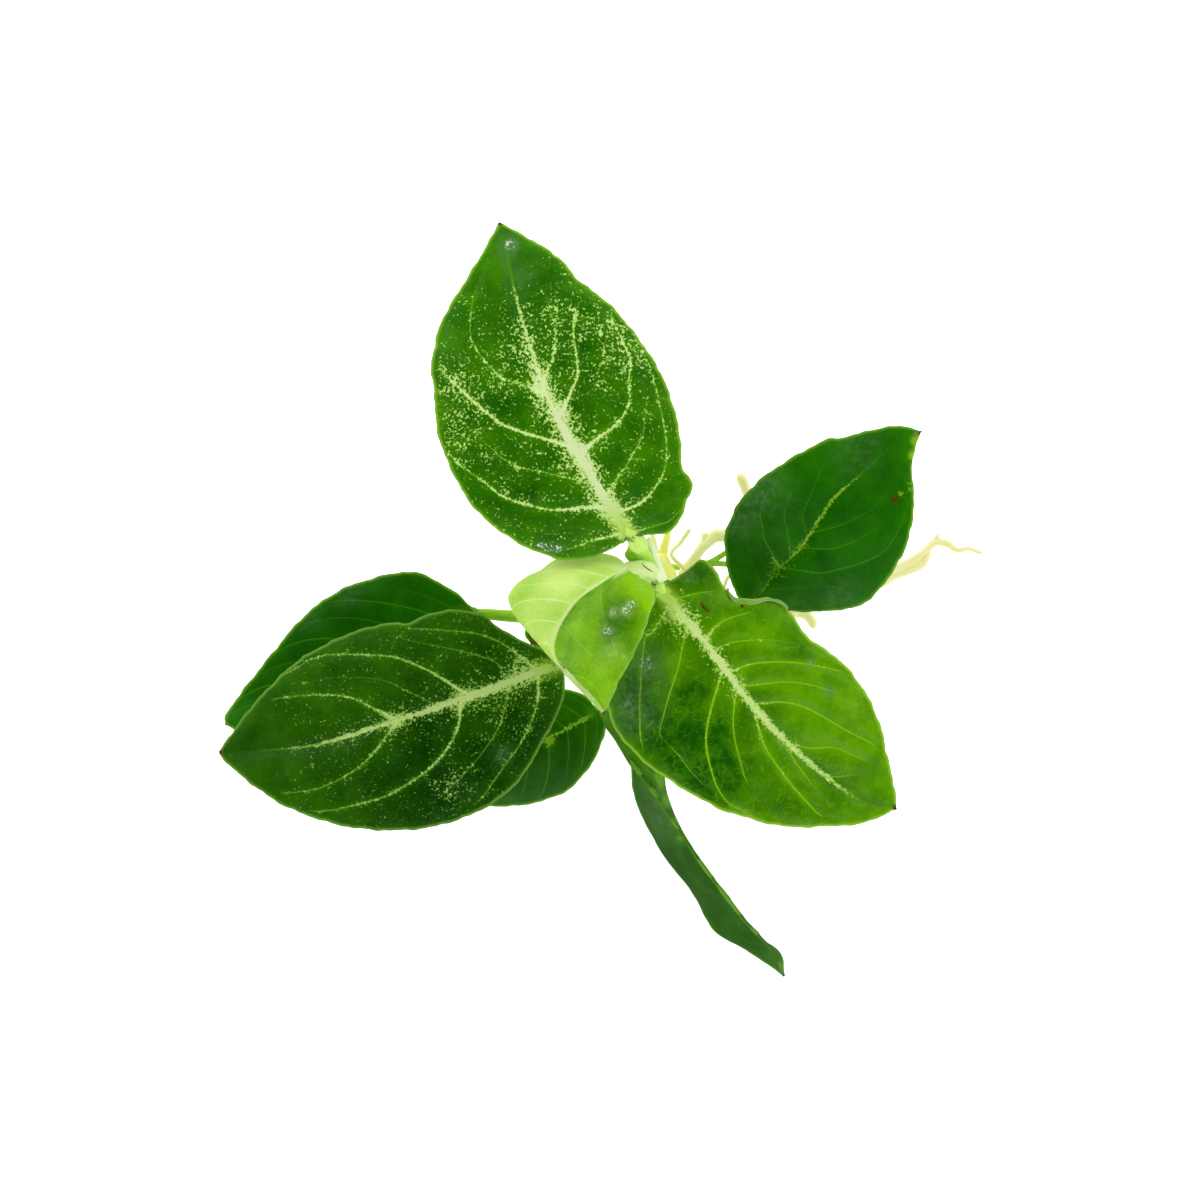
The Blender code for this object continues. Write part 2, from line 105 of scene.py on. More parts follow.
def movePoints(mesh, points):
    mesh.vertices.foreach_set("co", points.astype(np.float32).ravel())


def addPoints(mesh, name, *columns):
    # three values for every point, which the finishes read by this name
    layer = mesh.attributes.new(name, "FLOAT_VECTOR", "POINT")
    layer.data.foreach_set("vector", np.stack(columns, axis=-1).astype(np.float32).ravel())


def tidyMesh(mesh, turn=False):
    skin = bmesh.new()
    skin.from_mesh(mesh)
    bmesh.ops.remove_doubles(skin, verts=skin.verts, dist=mergeWithin)
    if turn:
        bmesh.ops.recalc_face_normals(skin, faces=skin.faces)
    skin.to_mesh(mesh)
    skin.free()
    mesh.shade_smooth()


def addPiece(name, mesh, node, slot, *finishes):
    piece = bpy.data.objects.new(name, mesh)
    bpy.context.scene.collection.objects.link(piece)
    for finish in finishes:
        mesh.materials.append(finish)
    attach(piece, "root")
    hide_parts(node)
    return piece


# the blade as a surface: along runs from stalk to tip, across from the left margin (-1) to the right (1)

def bladeLines(leaf, along, across):
    # the midrib's place and the margin's place for every along
    middle = pointOn(leaf["midribPath"], np.clip(along, 0, 1) ** leaf["lobe"])
    right, left = pointOn(leaf["rightPath"], along), pointOn(leaf["leftPath"], along)
    return middle, np.where((across > 0)[:, None], right, left)


def bladePoints(leaf, along, across):
    middle, margin = bladeLines(leaf, along, across)
    share = np.clip(along, 0, 1) ** leaf["lobe"]
    outward = (margin - middle) * np.where(across > 0, 1, -1)[:, None]
    heading = pointOn(leaf["midribPath"], share + 0.02) - pointOn(leaf["midribPath"], share - 0.02)
    above = unit(np.cross(outward, heading))
    out = np.abs(across)
    crown = np.where(across > 0, leaf["crown"], leaf.get("leftCrown", leaf["crown"]))
    arch = 4 * out * (1 - out) * np.sin(np.pi * np.clip(along, 0, 1)) * crown * mm
    return middle + (margin - middle) * out[:, None] + above * arch[:, None]


def bladeSlopes(leaf, along, across, step=0.004):
    # how a place on the blade moves with along and with across
    before, after = np.clip(along - step, 0, 1), np.clip(along + step, 0, 1)
    left, right = np.clip(across - step, -1, 1), np.clip(across + step, -1, 1)
    byAlong = bladePoints(leaf, after, across) - bladePoints(leaf, before, across)
    byAcross = bladePoints(leaf, along, right) - bladePoints(leaf, along, left)
    return byAlong / (after - before)[:, None], byAcross / (right - left)[:, None]


# veins

# how much strength a vein loses on its way out, and where evenly spaced veins begin, all as shares
veinRun = {"fade": 0.62, "fadeEnd": 0.12, "ruledFade": 0.6, "ruledFrom": 0.02, "ruledTo": 0.86,
           "thinShare": 0.6}


def findOnBlade(leaf, wanted, side, along, across, points):
    # the along and across of places given in plan, on one half of the blade
    otherHalf = (across * side < -1e-6).astype(float)
    nearest = [np.argmin(((points[:, :2] - place) ** 2).sum(1) + otherHalf) for place in wanted]
    t, a = along[nearest], across[nearest]
    for _ in range(3):
        miss = wanted - bladePoints(leaf, t, a)[:, :2]
        byAlong, byAcross = bladeSlopes(leaf, t, a)
        turn = byAlong[:, 0] * byAcross[:, 1] - byAlong[:, 1] * byAcross[:, 0]
        t = np.clip(t + (miss[:, 0] * byAcross[:, 1] - miss[:, 1] * byAcross[:, 0]) / turn, 0.001, 0.999)
        a = np.clip(a + (byAlong[:, 0] * miss[:, 1] - byAlong[:, 1] * miss[:, 0]) / turn, -0.999, 0.999)
    return t, np.abs(a)


def veinLines(leaf, side, along, across, points):
    # each vein as along for every across, in order from the stalk to the tip, with its strength
    out = np.linspace(0, 1, 81)
    lines, strengths = [], []
    for strength, places in leaf["rightVeins" if side > 0 else "leftVeins"]:
        plan = smoothPath([(x, y, 0) for x, y in places], 6)["points"][:, :2]
        t, a = findOnBlade(leaf, plan, side, along, across, points)
        a = np.maximum.accumulate(a + 1e-4 * np.arange(len(a)))
        if a[0] > 0.02:  # it starts short of the midrib, so it is led on to it
            rise = (t[3] - t[0]) / max(a[3] - a[0], 0.02)
            t, a = np.append(max(t[0] - rise * a[0], 0.0), t), np.append(0, a)
        ends = a[-1]
        rise = np.clip((t[-1] - t[-8]) / max(a[-1] - a[-8], 0.02), 0, 1.5)
        t, a = np.append(t, t[-1] + rise * (1.01 - ends)), np.append(a, 1.01)
        lines.append(np.interp(out, a, t))
        fading = 1 - veinRun["fade"] * np.clip(out / ends, 0, 1)
        strengths.append(strength * fading * (1 - ease(out, ends, ends + veinRun["fadeEnd"])))
    lines = np.array([np.full(len(out), -0.2), *lines, np.full(len(out), 1.2)])
    for k in range(1, len(lines)):
        lines[k] = np.maximum(lines[k], lines[k - 1] + 0.02)
    none = np.zeros(len(out))
    return out, lines, np.array([none, *strengths, none])


def ruledVeins(count, sweep, strength):
    # evenly spaced veins that leave the midrib and sweep towards the tip, every other one thin
    out = np.linspace(0, 1, 41)
    starts = np.linspace(veinRun["ruledFrom"], veinRun["ruledTo"], count)
    lines = [start + sweep * (1 - 0.6 * start) * out**1.4 for start in starts]
    fading = strength * (1 - veinRun["ruledFade"] * out)
    strengths = [fading * (1.0 if k % 2 else veinRun["thinShare"]) for k in range(count)]
    none = np.zeros(len(out))
    return out, np.array([none - 0.2, *lines, none + 1.3]), np.array([none, *strengths, none])


def veinPhase(veins, along, out):
    # 1 on the first vein, 2 on the next and so on, sliding evenly between them
    grid, lines, strengths = veins
    at = np.array([np.interp(out, grid, line) for line in lines])
    force = np.array([np.interp(out, grid, line) for line in strengths])
    k = np.clip((at <= along).sum(axis=0) - 1, 0, len(lines) - 2)
    pick = np.arange(len(along))
    part = (along - at[k, pick]) / np.maximum(at[k + 1, pick] - at[k, pick], 1e-6)
    return k + part, force[k, pick] * (1 - part) + force[k + 1, pick] * part


def veinMarks(leaf, along, across, points, byAlong, byAcross, step=0.004):
    # for every place: vein phase, millimetres per vein, strength, and where its vein left the midrib
    phase, spread, strength, run = (np.zeros(len(along)) for _ in range(4))
    for side, half in ((-1, across <= 0), (1, across > 0)):
        if "leftVeins" in leaf:
            veins = veinLines(leaf, side, along, across, points)
        else:
            veins = ruledVeins(*leaf["leftVeinRule" if side < 0 and "leftVeinRule" in leaf else "veinRule"])
        t, a = along[half], np.abs(across[half])
        here, force = veinPhase(veins, t, a)
        changeAlong = (veinPhase(veins, t + step, a)[0] - here) / step
        further, nearer = veinPhase(veins, t, np.minimum(a + step, 1.0))[0], veinPhase(veins, t, a - step)[0]
        changeOut = (further - nearer) / (2 * step)
        u, v = byAlong[half], byAcross[half] * side
        uu, vv, uv = (u * u).sum(1), (v * v).sum(1), (u * v).sum(1)
        steep = changeAlong**2 * vv - 2 * changeAlong * changeOut * uv + changeOut**2 * uu
        steep = steep / np.maximum(uu * vv - uv**2, 1e-16)
        phase[half], strength[half] = here, force
        spread[half] = np.minimum(1 / np.sqrt(np.maximum(steep, 1e-6)) / mm, 30)
        starts = np.clip(veins[1][:, 0], 0, 1) ** leaf["lobe"]
        run[half] = np.interp(here, np.arange(len(starts)), starts) * leaf["midribPath"]["length"] / mm
    return phase, spread, strength, run


# blades

def surveyBlade(leaf, along, across):
    # all that the relief, the wall and the finishes need to know of every place, in millimetres
    points = bladePoints(leaf, along, across)
    byAlong, byAcross = bladeSlopes(leaf, along, across)
    middle, margin = bladeLines(leaf, along, across)
    phase, spread, strength, run = veinMarks(leaf, along, across, points, byAlong, byAcross)
    stalkEnd, tipEnd = leaf["midribPath"]["points"][[0, -1]]
    fromStalk = np.linalg.norm(points - stalkEnd, axis=1) / mm
    fromTip = np.linalg.norm(points - tipEnd, axis=1) / mm
    toMargin = (1 - np.abs(across)) * np.linalg.norm(np.cross(byAcross, unit(byAlong)), axis=1) / mm
    return {"points": points, "above": unit(np.cross(byAcross, byAlong)), "outward": unit(byAcross),
            "side": across * np.linalg.norm(margin - middle, axis=1) / mm,
            "rim": np.minimum(toMargin, fromTip + 0.2), "fromStalk": fromStalk, "fromTip": fromTip,
            "phase": phase, "spread": spread, "strength": strength, "run": run,
            "fromVein": np.abs(phase - np.round(phase)) * spread}


# millimetres
reliefRule = {"veinHalf": 0.6, "troughHalf": 1.1, "evenSpread": 5, "bumps": 0.12, "bumpSize": 9}


def bladeRelief(leaf, at, across):
    # sunken veins, tissue swelling between them, a trough at the midrib and rippled margins
    side, tip = np.abs(at["side"]), at["fromTip"]
    calm = ease(at["rim"], 0.0, 3.0) * ease(side, 0.3, 2.5)
    room = np.clip(at["spread"] / reliefRule["evenSpread"], 0.2, 1.2)
    height = leaf["swell"] * np.sin(np.pi * at["phase"]) ** 2 * room * calm
    veins = np.sqrt(at["strength"]) * np.exp(-((at["fromVein"] / reliefRule["veinHalf"]) ** 2))
    height -= leaf["sunk"] * veins * ease(side, 0, 1.0)
    height -= leaf["trough"] * np.exp(-((side / reliefRule["troughHalf"]) ** 2)) * ease(tip, 3, 25)
    ripple = gentle(at["points"], leaf["rippleSize"], leaf["seed"]) * across**2
    height += leaf["ripple"] * ripple * ease(at["fromStalk"], 2, 12) * ease(tip, 1, 10)
    return height + reliefRule["bumps"] * gentle(at["points"], reliefRule["bumpSize"], leaf["seed"] + 3)


def marginWaves(leaf, at, along, across):
    # the margin's small waves, inwards of the leaf's outline
    reach = along * leaf["leftPath"]["length"] / mm + leaf["seed"]
    waves = 0.5 * np.sin(reach / 1.3) + 0.3 * np.sin(reach / 0.71 + across) + 0.2 * np.sin(reach / 0.43)
    pull = leaf["wobble"] * (waves - 0.4) * np.abs(across) ** 8 * ease(at["fromTip"], 0.5, 6)
    return np.sign(across) * pull


def bladeMarks(leaf, points):
    # marks given in plan, each a soft round patch: kind, place, radius and amount
    # the sheen marks paint sheen and glints into the colour
    marks = {kind: np.zeros(len(points)) for kind in ("speckle", "tone", "brown", "paintedSheen")}
    marks["speckle"] += leaf["speckle"]
    plan = points[:, :2] / mm + plantCentre[:2]
    for kind, x, y, radius, amount in leaf["patches"]:
        marks[kind] += amount * np.exp(-(((plan - (x, y)) ** 2).sum(1) / radius**2))
    return marks


# millimetres, but for the number of levels that the wall's thickness is told in
wallRule = {"rim": 0.34, "inner": 0.12, "vein": 0.25, "veinHalf": 0.5, "inBox": 0.35, "levels": 200}


def bladeWall(leaf, at):
    # the wall's thickness, with the midrib and the veins standing out below
    keel = np.exp(-((at["side"] / leaf["keelWidth"]) ** 2)) * ease(at["fromTip"], 0, 30) * leaf["keel"]
    veins = np.exp(-((at["fromVein"] / wallRule["veinHalf"]) ** 2)) * ease(at["rim"], 0, 4)
    veins = veins * np.sqrt(at["strength"])
    return wallRule["rim"] + wallRule["inner"] * ease(at["rim"], 0, 3) + keel + wallRule["vein"] * veins


def bladeMesh(name, leaf):
    leaf["midribPath"] = smoothPath(leaf["midrib"])
    for line in ("left", "right"):
        leaf[line + "Path"] = smoothPath([leaf["midrib"][0], *leaf[line], leaf["midrib"][-1]])
    size = leaf["cell"] * mm
    rows = int(max(leaf["leftPath"]["length"], leaf["rightPath"]["length"]) / size)
    mesh, across, along = gridMesh(name, 2 * int(leaf["halfWidth"] * mm / size), rows)
    at = surveyBlade(leaf, along, across)
    points = at["points"] + at["outward"] * (marginWaves(leaf, at, along, across) * mm)[:, None]
    points = points + at["above"] * ((bladeRelief(leaf, at, across) - leaf["lower"]) * mm)[:, None]
    inBox = wallRule["inBox"] * mm
    points = np.clip(points, np.array(cadLow) + inBox, np.array(cadHigh) - inBox)
    movePoints(mesh, points)
    marks = bladeMarks(leaf, points)
    shares, halves = np.array(leaf["palePart"]).T
    addPoints(mesh, "leafPlace", at["side"], at["run"], at["rim"])
    addPoints(mesh, "leafVeins", at["phase"], at["spread"], at["strength"])
    addPoints(mesh, "leafMarks", marks["speckle"], marks["tone"], marks["brown"])
    ribHalf = np.interp(along ** leaf["lobe"], shares, halves)
    # its third value tells where sheen and glints are painted
    addPoints(mesh, "leafRib", ribHalf, at["fromTip"], marks["paintedSheen"])
    return mesh, bladeWall(leaf, at)


def addBlade(name, leaf, finish, under):
    mesh, wall = bladeMesh(name, leaf)
    piece = addPiece(name, mesh, leaf["node"], leaf["slot"], finish, under)
    group = piece.vertex_groups.new(name="wall")
    levels = np.round(wall / wall.max() * wallRule["levels"]).astype(int)
    for level in np.unique(levels):
        group.add(np.nonzero(levels == level)[0].tolist(), level / wallRule["levels"], "REPLACE")
    tidyMesh(mesh)
    shell = piece.modifiers.new("wall", "SOLIDIFY")
    shell.thickness = wall.max() * mm
    shell.offset = -1
    shell.vertex_group = "wall"
    shell.material_offset = 1


# round pieces

def roundEnd(fromEnd, radii):
    return np.sqrt(np.clip(1 - (1 - np.clip(fromEnd / radii, 0, 1)) ** 2, 0, 1))


def crossAxes(heading):
    # sideways and upward for every ring, turning as little as they can from one ring to the next
    sideways = [unit(np.cross(heading[0], [0.12, 0.05, 1.0]))]
    for h in heading[1:]:
        sideways.append(unit(sideways[-1] - h * (sideways[-1] @ h)))
    return np.array(sideways), np.cross(np.array(sideways), heading)


def tubePiece(name, shape, node, slot, finish):
    path = smoothPath(shape["places"])
    length = path["length"] / mm
    rings = max(6, int(length / shape["cell"]))
    capRings = shape.get("flatEnd", 0)
    mesh, x, y = gridMesh(name, shape["sides"], rings + capRings)
    ring = np.round(y * (rings + capRings)).astype(int)
    share = np.minimum(np.arange(rings + capRings + 1) / rings, 1)
    heading = unit(pointOn(path, share + 0.01) - pointOn(path, share - 0.01))
    sideways, upward = crossAxes(heading)
    radii = np.interp(share, np.linspace(0, 1, len(shape["radii"])), shape["radii"])
    run = share * length
    cap = roundEnd(run, radii)
    if capRings:
        cap = cap * np.clip(1 - (np.arange(len(share)) - rings) / capRings, 0, 1)
    else:
        cap = cap * roundEnd(length - run, radii * shape.get("point", 1))
    turn = (x + 1) * np.pi
    radius = radii[ring] * cap[ring]
    if "knobs" in shape:
        radius = radius + cap[ring] * shape["knobs"](turn, run[ring])
    u, v = np.cos(turn) * radius, np.sin(turn) * radius
    points = pointOn(path, share)[ring] + sideways[ring] * (u * mm)[:, None]
    points = points + upward[ring] * (v * shape.get("flat", 1.0) * mm)[:, None]
    if "floor" in shape:
        points[:, 2] = np.maximum(points[:, 2], shape["floor"] * mm)
    movePoints(mesh, points)
    addPoints(mesh, "tubePlace", u, v, run[ring])
    inCut = np.clip((ring - rings) / max(capRings, 1), 0, 1)
    addPoints(mesh, "tubeShare", share[ring], inCut, cap[ring])
    tidyMesh(mesh, turn=True)
    addPiece(name, mesh, node, slot, finish)


# what the finishes are written with

class Field:
    # a value that a shader works out for every place, so that a finish reads as sums and products
    def __init__(self, tree, socket):
        self.tree, self.socket = tree, socket

    def calc(self, operation, *values, clamp=False):
        node = self.tree.nodes.new("ShaderNodeMath")
        node.operation = operation
        node.use_clamp = clamp
        for socket, value in zip(node.inputs, values):
            feed(self.tree, socket, value)
        return Field(self.tree, node.outputs[0])

    def __add__(self, other):
        return self.calc("ADD", self, other)

    def __sub__(self, other):
        return self.calc("SUBTRACT", self, other)

    def __mul__(self, other):
        return self.calc("MULTIPLY", self, other)

    def __truediv__(self, other):
        return self.calc("DIVIDE", self, other)


def feed(tree, socket, value):
    if isinstance(value, Field):
        tree.links.new(value.socket, socket)
    else:
        socket.default_value = value


def most(first, second):
    return first.calc("MAXIMUM", first, second)


def least(first, second):
    return first.calc("MINIMUM", first, second)


def within(value):
    # held between 0 and 1
    return value.calc("ADD", value, 0.0, clamp=True)


def fade(value, steep=-1.0):
    # 1 at a value of 0, and less and less beyond
    return value.calc("EXPONENT", value * steep)


def toAndFro(value, length):
    return value.calc("PINGPONG", value, length)


def slide(value, low, high, first=0.0, last=1.0):
    node = value.tree.nodes.new("ShaderNodeMapRange")
    node.interpolation_type = "SMOOTHSTEP"
    for socket, setting in zip(node.inputs, (value, low, high, first, last)):
        feed(value.tree, socket, setting)
    return Field(value.tree, node.outputs[0])


def tint(share, first, second):
    node = share.tree.nodes.new("ShaderNodeMix")
    node.data_type = "RGBA"
    for socket, value in zip((node.inputs["Factor"], node.inputs[6], node.inputs[7]), (share, first, second)):
        feed(share.tree, socket, value)
    return Field(share.tree, node.outputs[2])


def split(tree, vector):
    node = tree.nodes.new("ShaderNodeSeparateXYZ")
    tree.links.new(vector, node.inputs[0])
    return [Field(tree, socket) for socket in node.outputs]


def reading(tree, name):
    # the three values that addPoints gave
    node = tree.nodes.new("ShaderNodeAttribute")
    node.attribute_name = name
    return split(tree, node.outputs["Vector"])


def together(x, y, z=0.0):
    node = x.tree.nodes.new("ShaderNodeCombineXYZ")
    for socket, value in zip(node.inputs, (x, y, z)):
        feed(x.tree, socket, value)
    return Field(x.tree, node.outputs[0])


def resize(place, scale, shift=(0, 0, 0)):
    node = place.tree.nodes.new("ShaderNodeMapping")
    node.inputs["Location"].default_value = shift
    node.inputs["Scale"].default_value = scale
    feed(place.tree, node.inputs["Vector"], place)
    return Field(place.tree, node.outputs[0])


def grain(place, size, detail=2.0, rough=0.5, stretch=(1, 1, 1), shift=0.0, warp=0.0):
    # noise whose lumps are about size units of the place, longer where stretch is over 1
    node = place.tree.nodes.new("ShaderNodeTexNoise")
    settings = {"Scale": 1.0, "Detail": detail, "Roughness": rough, "Distortion": warp}
    for name, setting in settings.items():
        node.inputs[name].default_value = setting
    place = resize(place, [1 / (size * s) for s in stretch], (shift, shift * 1.7, shift * 0.6))
    feed(place.tree, node.inputs["Vector"], place)
    return Field(place.tree, node.outputs["Fac"])


# how far the net wanders, in millimetres, and how many cells a millimetre holds
netRule = {"wander": (4.0, 4.0, 4.0), "scale": (0.42, 0.42, 0.42)}


def netVeins(body, wander):
    # how far each place is from the nearest line of a fine wandering net
    tree = body.tree
    moved = tree.nodes.new("ShaderNodeVectorMath")
    moved.operation = "MULTIPLY_ADD"
    for socket, value in zip(moved.inputs, (wander, netRule["wander"], body)):
        feed(tree, socket, value)
    node = tree.nodes.new("ShaderNodeTexVoronoi")
    node.feature = "DISTANCE_TO_EDGE"
    node.inputs["Scale"].default_value = 1.0
    feed(tree, node.inputs["Vector"], resize(Field(tree, moved.outputs[0]), netRule["scale"]))
    return Field(tree, node.outputs["Distance"])


def objectPlace(tree):
    # the place on the object, in millimetres
    coords = tree.nodes.new("ShaderNodeTexCoord")
    return resize(Field(tree, coords.outputs["Object"]), (1 / mm,) * 3)


def srgb(red, green, blue):
    # a colour as it is seen, as the shader's own numbers
    parts = [c / 255 for c in (red, green, blue)]
    return (*[c / 12.92 if c <= 0.04045 else ((c + 0.055) / 1.055) ** 2.4 for c in parts], 1.0)


def newFinish(name):
    material = bpy.data.materials.new(name)
    material.use_nodes = True
    return material, material.node_tree, material.node_tree.nodes["Principled BSDF"]


def finishShader(tree, shader, color, rough, gloss, glow=None):
    # glow, where it is given, is painted light: an emission in the surface's own colour that stands in for
    # light coming through thin tissue
    feed(tree, shader.inputs["Base Color"], color)
    feed(tree, shader.inputs["Roughness"], rough)
    shader.inputs["Specular IOR Level"].default_value = gloss
    if glow is not None:
        feed(tree, shader.inputs["Emission Color"], color)
        feed(tree, shader.inputs["Emission Strength"], glow)


def emboss(shader, height, distance, strength):
    node = height.tree.nodes.new("ShaderNodeBump")
    node.inputs["Strength"].default_value = strength
    node.inputs["Distance"].default_value = distance * mm
    feed(height.tree, node.inputs["Height"], height)
    height.tree.links.new(node.outputs[0], shader.inputs["Normal"])


# finishes

def leafFinish(name, look):
    material, tree, shader = newFinish(name)
    side, run, rim = reading(tree, "leafPlace")
    phase, spread, strength = reading(tree, "leafVeins")
    speckle, tone, brown = reading(tree, "leafMarks")
    rib, tip, paintedSheen = reading(tree, "leafRib")
    body, shift = objectPlace(tree), look["shift"]
    out = side.calc("ABSOLUTE", side)
    fromVein = toAndFro(phase, 0.5) * spread
    sway = grain(body, 4.5, 2.0, 0.6, shift=shift + 2)
    clouds = grain(body, 3.0, 2.0, 0.6, shift=shift)
    flecks = grain(body, look["fleckSize"], 2.0, 0.7, shift=shift + 19)
    fine = grain(body, 0.7, 3.0, 0.65, shift=shift + 5)

    # how pale each place would be, before the flecks break it up
    ribField = (rib * (sway * 1.6 + 0.2) - out) / look["feather"] + 0.5
    inVein = fromVein / look["veinWidth"]
    veinCore = fade(inVein * inVein) * strength * look["veinPale"]
    nearRib = within(fade(out - rib, look["haloFall"]) * slide(rib, -0.5, 1.0))
    nearVein = fade(fromVein) * strength * look["veinHalo"]
    paleness = speckle + (nearRib * look["ribHalo"] + nearVein) + (clouds - 0.5) * look["cluster"]
    paleness = least(most(ribField, paleness + veinCore), 1.1)
    dashes = grain(together(side, run), 0.6, 2.0, 0.7, (1.2, 1.0, 1), shift + 7, 0.3)
    broken = (dashes - 0.5) * ((nearRib * 0.8 + 0.25) * look["dash"]) + (flecks - 0.5) * look["fleck"]
    lit = paleness + broken

    # the green itself, with its cool patches, net veins and vein lines
    blotch = grain(body, 9.0, 3.0, 0.6, shift=shift + 3)
    veinGlow = fade(fromVein, -1.1) * look["veinGlow"] * slide(strength, 0.0, 0.5)
    glow = fade(rim, -0.5) * look["rimGlow"] + veinGlow
    lightness = within((blotch * 1.6 - 0.3) + (fine * 0.7 - 0.35) + (tone + glow))
    green = tint(lightness, look["deep"], look["fresh"])
    if "otherHalf" in look:
        green = tint(slide(side, -0.9, 0.3, 1.0, 0.0), green, tint(lightness, *look["otherHalf"]))
    patchy = grain(body, 5.0, 2.0, 0.6, shift=shift + 13)
    green = tint(slide(patchy, 0.42, 0.66, 0.0, look["coolShare"]), green, look["cool"])
    netting = slide(netVeins(body, together(sway, clouds, sway)), 0.0, 0.055, look["netting"], 0.0)
    netting = netting * slide(clouds, 0.38, 0.6, 0.15, 1.0)
    line = slide(fromVein / (strength * 0.3 + 0.1), 0.35, 1.2, look["line"], 0.0)
    line = within(line * slide(strength, 0.02, 0.25) * (flecks * 0.8 + 0.6))
    center = slide(out, 0.05, 0.35, look["line"], 0.0) * slide(tip, 2, 30)
    for share in (netting, line, center):
        green = tint(share, green, look["vein"])

    # what lies over the green: flecks, bright spots, the pale base, the margin, brown parts, painted sheen
    # and painted glints
    fleckColor = tint(slide(lit, 0.5, 0.9), look["speck"], look["pale"])
    color = tint(slide(lit, 0.45, 0.56), green, fleckColor)
    lightSpot = slide(fine * 0.8 + tone, 1.0, 2.4)
    nearStalk = slide(fine * 2.0 + run, 2.0, look["baseEnd"], 0.9, 0.0) * slide(out, 0.8, 3.4, 1.0, 0.0)
    edge = slide(rim + (fine * 0.5 - 0.25), 0.1, look["edgeWidth"], look["edge"], 0.0)
    burnt = most(slide(tip, 0.5, look["burn"], 0.9, 0.0), brown) + (flecks * 0.3 - 0.15)
    # painted sheen: a streaky grey-green film where the sheen marks are, and painted glints, small near-white
    # marks where they are strong
    streaks = grain(body, 1.5, 4.0, 0.75, shift=shift + 29)
    sheenShare = least(paintedSheen, look["sheenShare"]) * slide(streaks, 0.42, 0.62, 0.25, 1.0)
    glint = slide(paintedSheen, 0.6, 1.0) * slide(flecks, 0.54, 0.57)
    layers = ((lightSpot, "light"), (nearStalk, "base"), (edge, "margin"), (slide(burnt, 0.1, 0.9), "brown"),
              (slide(brown, 0.85, 1.3), "scorch"), (sheenShare, "sheenTint"), (glint, "glint"))
    for share, over in layers:
        color = tint(share, color, look[over])
    finishShader(tree, shader, color, fine * 0.08 + (look["rough"] - 0.04), look["gloss"], look["glow"])
    pores = grain(together(side, run), 0.22, 2.0, 0.6, shift=shift + 11)
    emboss(shader, pores * 0.2 + line * -0.5 - netting * 0.3, 0.08, 0.25)
    return material


def underFinish(name, look):
    # the leaf's underside: paler and matter, with its veins standing out
    material, tree, shader = newFinish(name)
    side, run = reading(tree, "leafPlace")[:2]
    phase, spread, strength = reading(tree, "leafVeins")
    tip = reading(tree, "leafRib")[1]
    place = together(side, run)
    line = slide(toAndFro(phase, 0.5) * spread, 0.15, 0.6, 0.7, 0.0) * slide(strength, 0.02, 0.4)
    keel = slide(side.calc("ABSOLUTE", side), 0.5, 1.3, 0.9, 0.0) * slide(tip, 1, 25)
    blotch = grain(place, 5.0, 3.0, 0.6, shift=look["shift"])
    fine = grain(place, 0.5, 3.0, 0.6, (1.5, 1, 1), look["shift"] + 2)
    green = tint(within((blotch * 1.2 - 0.4) + (fine * 0.8 - 0.1)), look["underDeep"], look["underFresh"])
    color = tint(most(line, keel), green, look["underVein"])
    color = tint(slide(tip, 0.5, look["burn"], 0.9, 0.0), color, look["brown"])
    finishShader(tree, shader, color, 0.5, 0.3)
    emboss(shader, grain(place, 0.25, 2.0, 0.6) * 0.5 + line, 0.15, 0.5)
    return material


def tubeFinish(name):
    # a finish of a round piece, with the place across and along it
    material, tree, shader = newFinish(name)
    return material, tree, shader, together(*reading(tree, "tubePlace"))


def stalkFinish(name, look):
    material, tree, shader, place = tubeFinish(name)
    share = reading(tree, "tubeShare")[0]
    fibers = grain(place, 0.5, 3.0, 0.6, (1, 1, 14), look["shift"])
    blotch = grain(place, 4.0, 2.0, 0.6, (1, 1, 2.5), look["shift"] + 4)
    lightness = within((fibers * 0.9 - 0.45) + (blotch * 1.3 - 0.15))
    color = tint(lightness, look["deep"], look["fresh"])
    color = tint(slide(share, 0.0, look["footShare"], 0.85, 0.0), color, look["foot"])
    dots = grain(place, 0.35, 1.0, 0.5, (1, 1, 1.8), look["shift"] + 9)
    color = tint(slide(dots, 0.66, 0.74, 0.0, look["dots"]), color, look["dot"])
    finishShader(tree, shader, color, fibers * 0.25 + (look["rough"] - 0.12), 0.2, look["glow"])
    emboss(shader, fibers, 0.12, 0.6)
    return material


def rhizomeFinish(name, look):
    material, tree, shader, place = tubeFinish(name)
    run, cut = reading(tree, "tubePlace")[2], reading(tree, "tubeShare")[1]
    blotch = grain(place, 3.0, 4.0, 0.65, shift=2.0)
    fine = grain(place, 0.45, 3.0, 0.7, (1.6, 1.6, 0.7), 5.0)
    scar = slide(toAndFro(run + blotch * 1.2, look["ring"] / 2), 0.05, 0.5, 1.0, 0.0)
    lightness = within((blotch * 2.0 - 0.7) + (fine * 0.8 - 0.4))
    color = tint(scar * 0.75, tint(lightness, look["dark"], look["green"]), look["scar"])
    color = tint(slide(fine, 0.62, 0.72, 0.0, 0.6), color, look["fleck"])
    flesh = tint(slide(fine, 0.35, 0.65), look["flesh"], look["fleshDark"])
    flesh = tint(slide(cut, 0.05, 0.22, 0.9, 0.0), flesh, look["scar"])
    finishShader(tree, shader, tint(slide(cut, 0.0, 0.05), color, flesh), 0.6, 0.5)
    emboss(shader, fine - scar * 0.6, 0.35, 0.8)
    return material


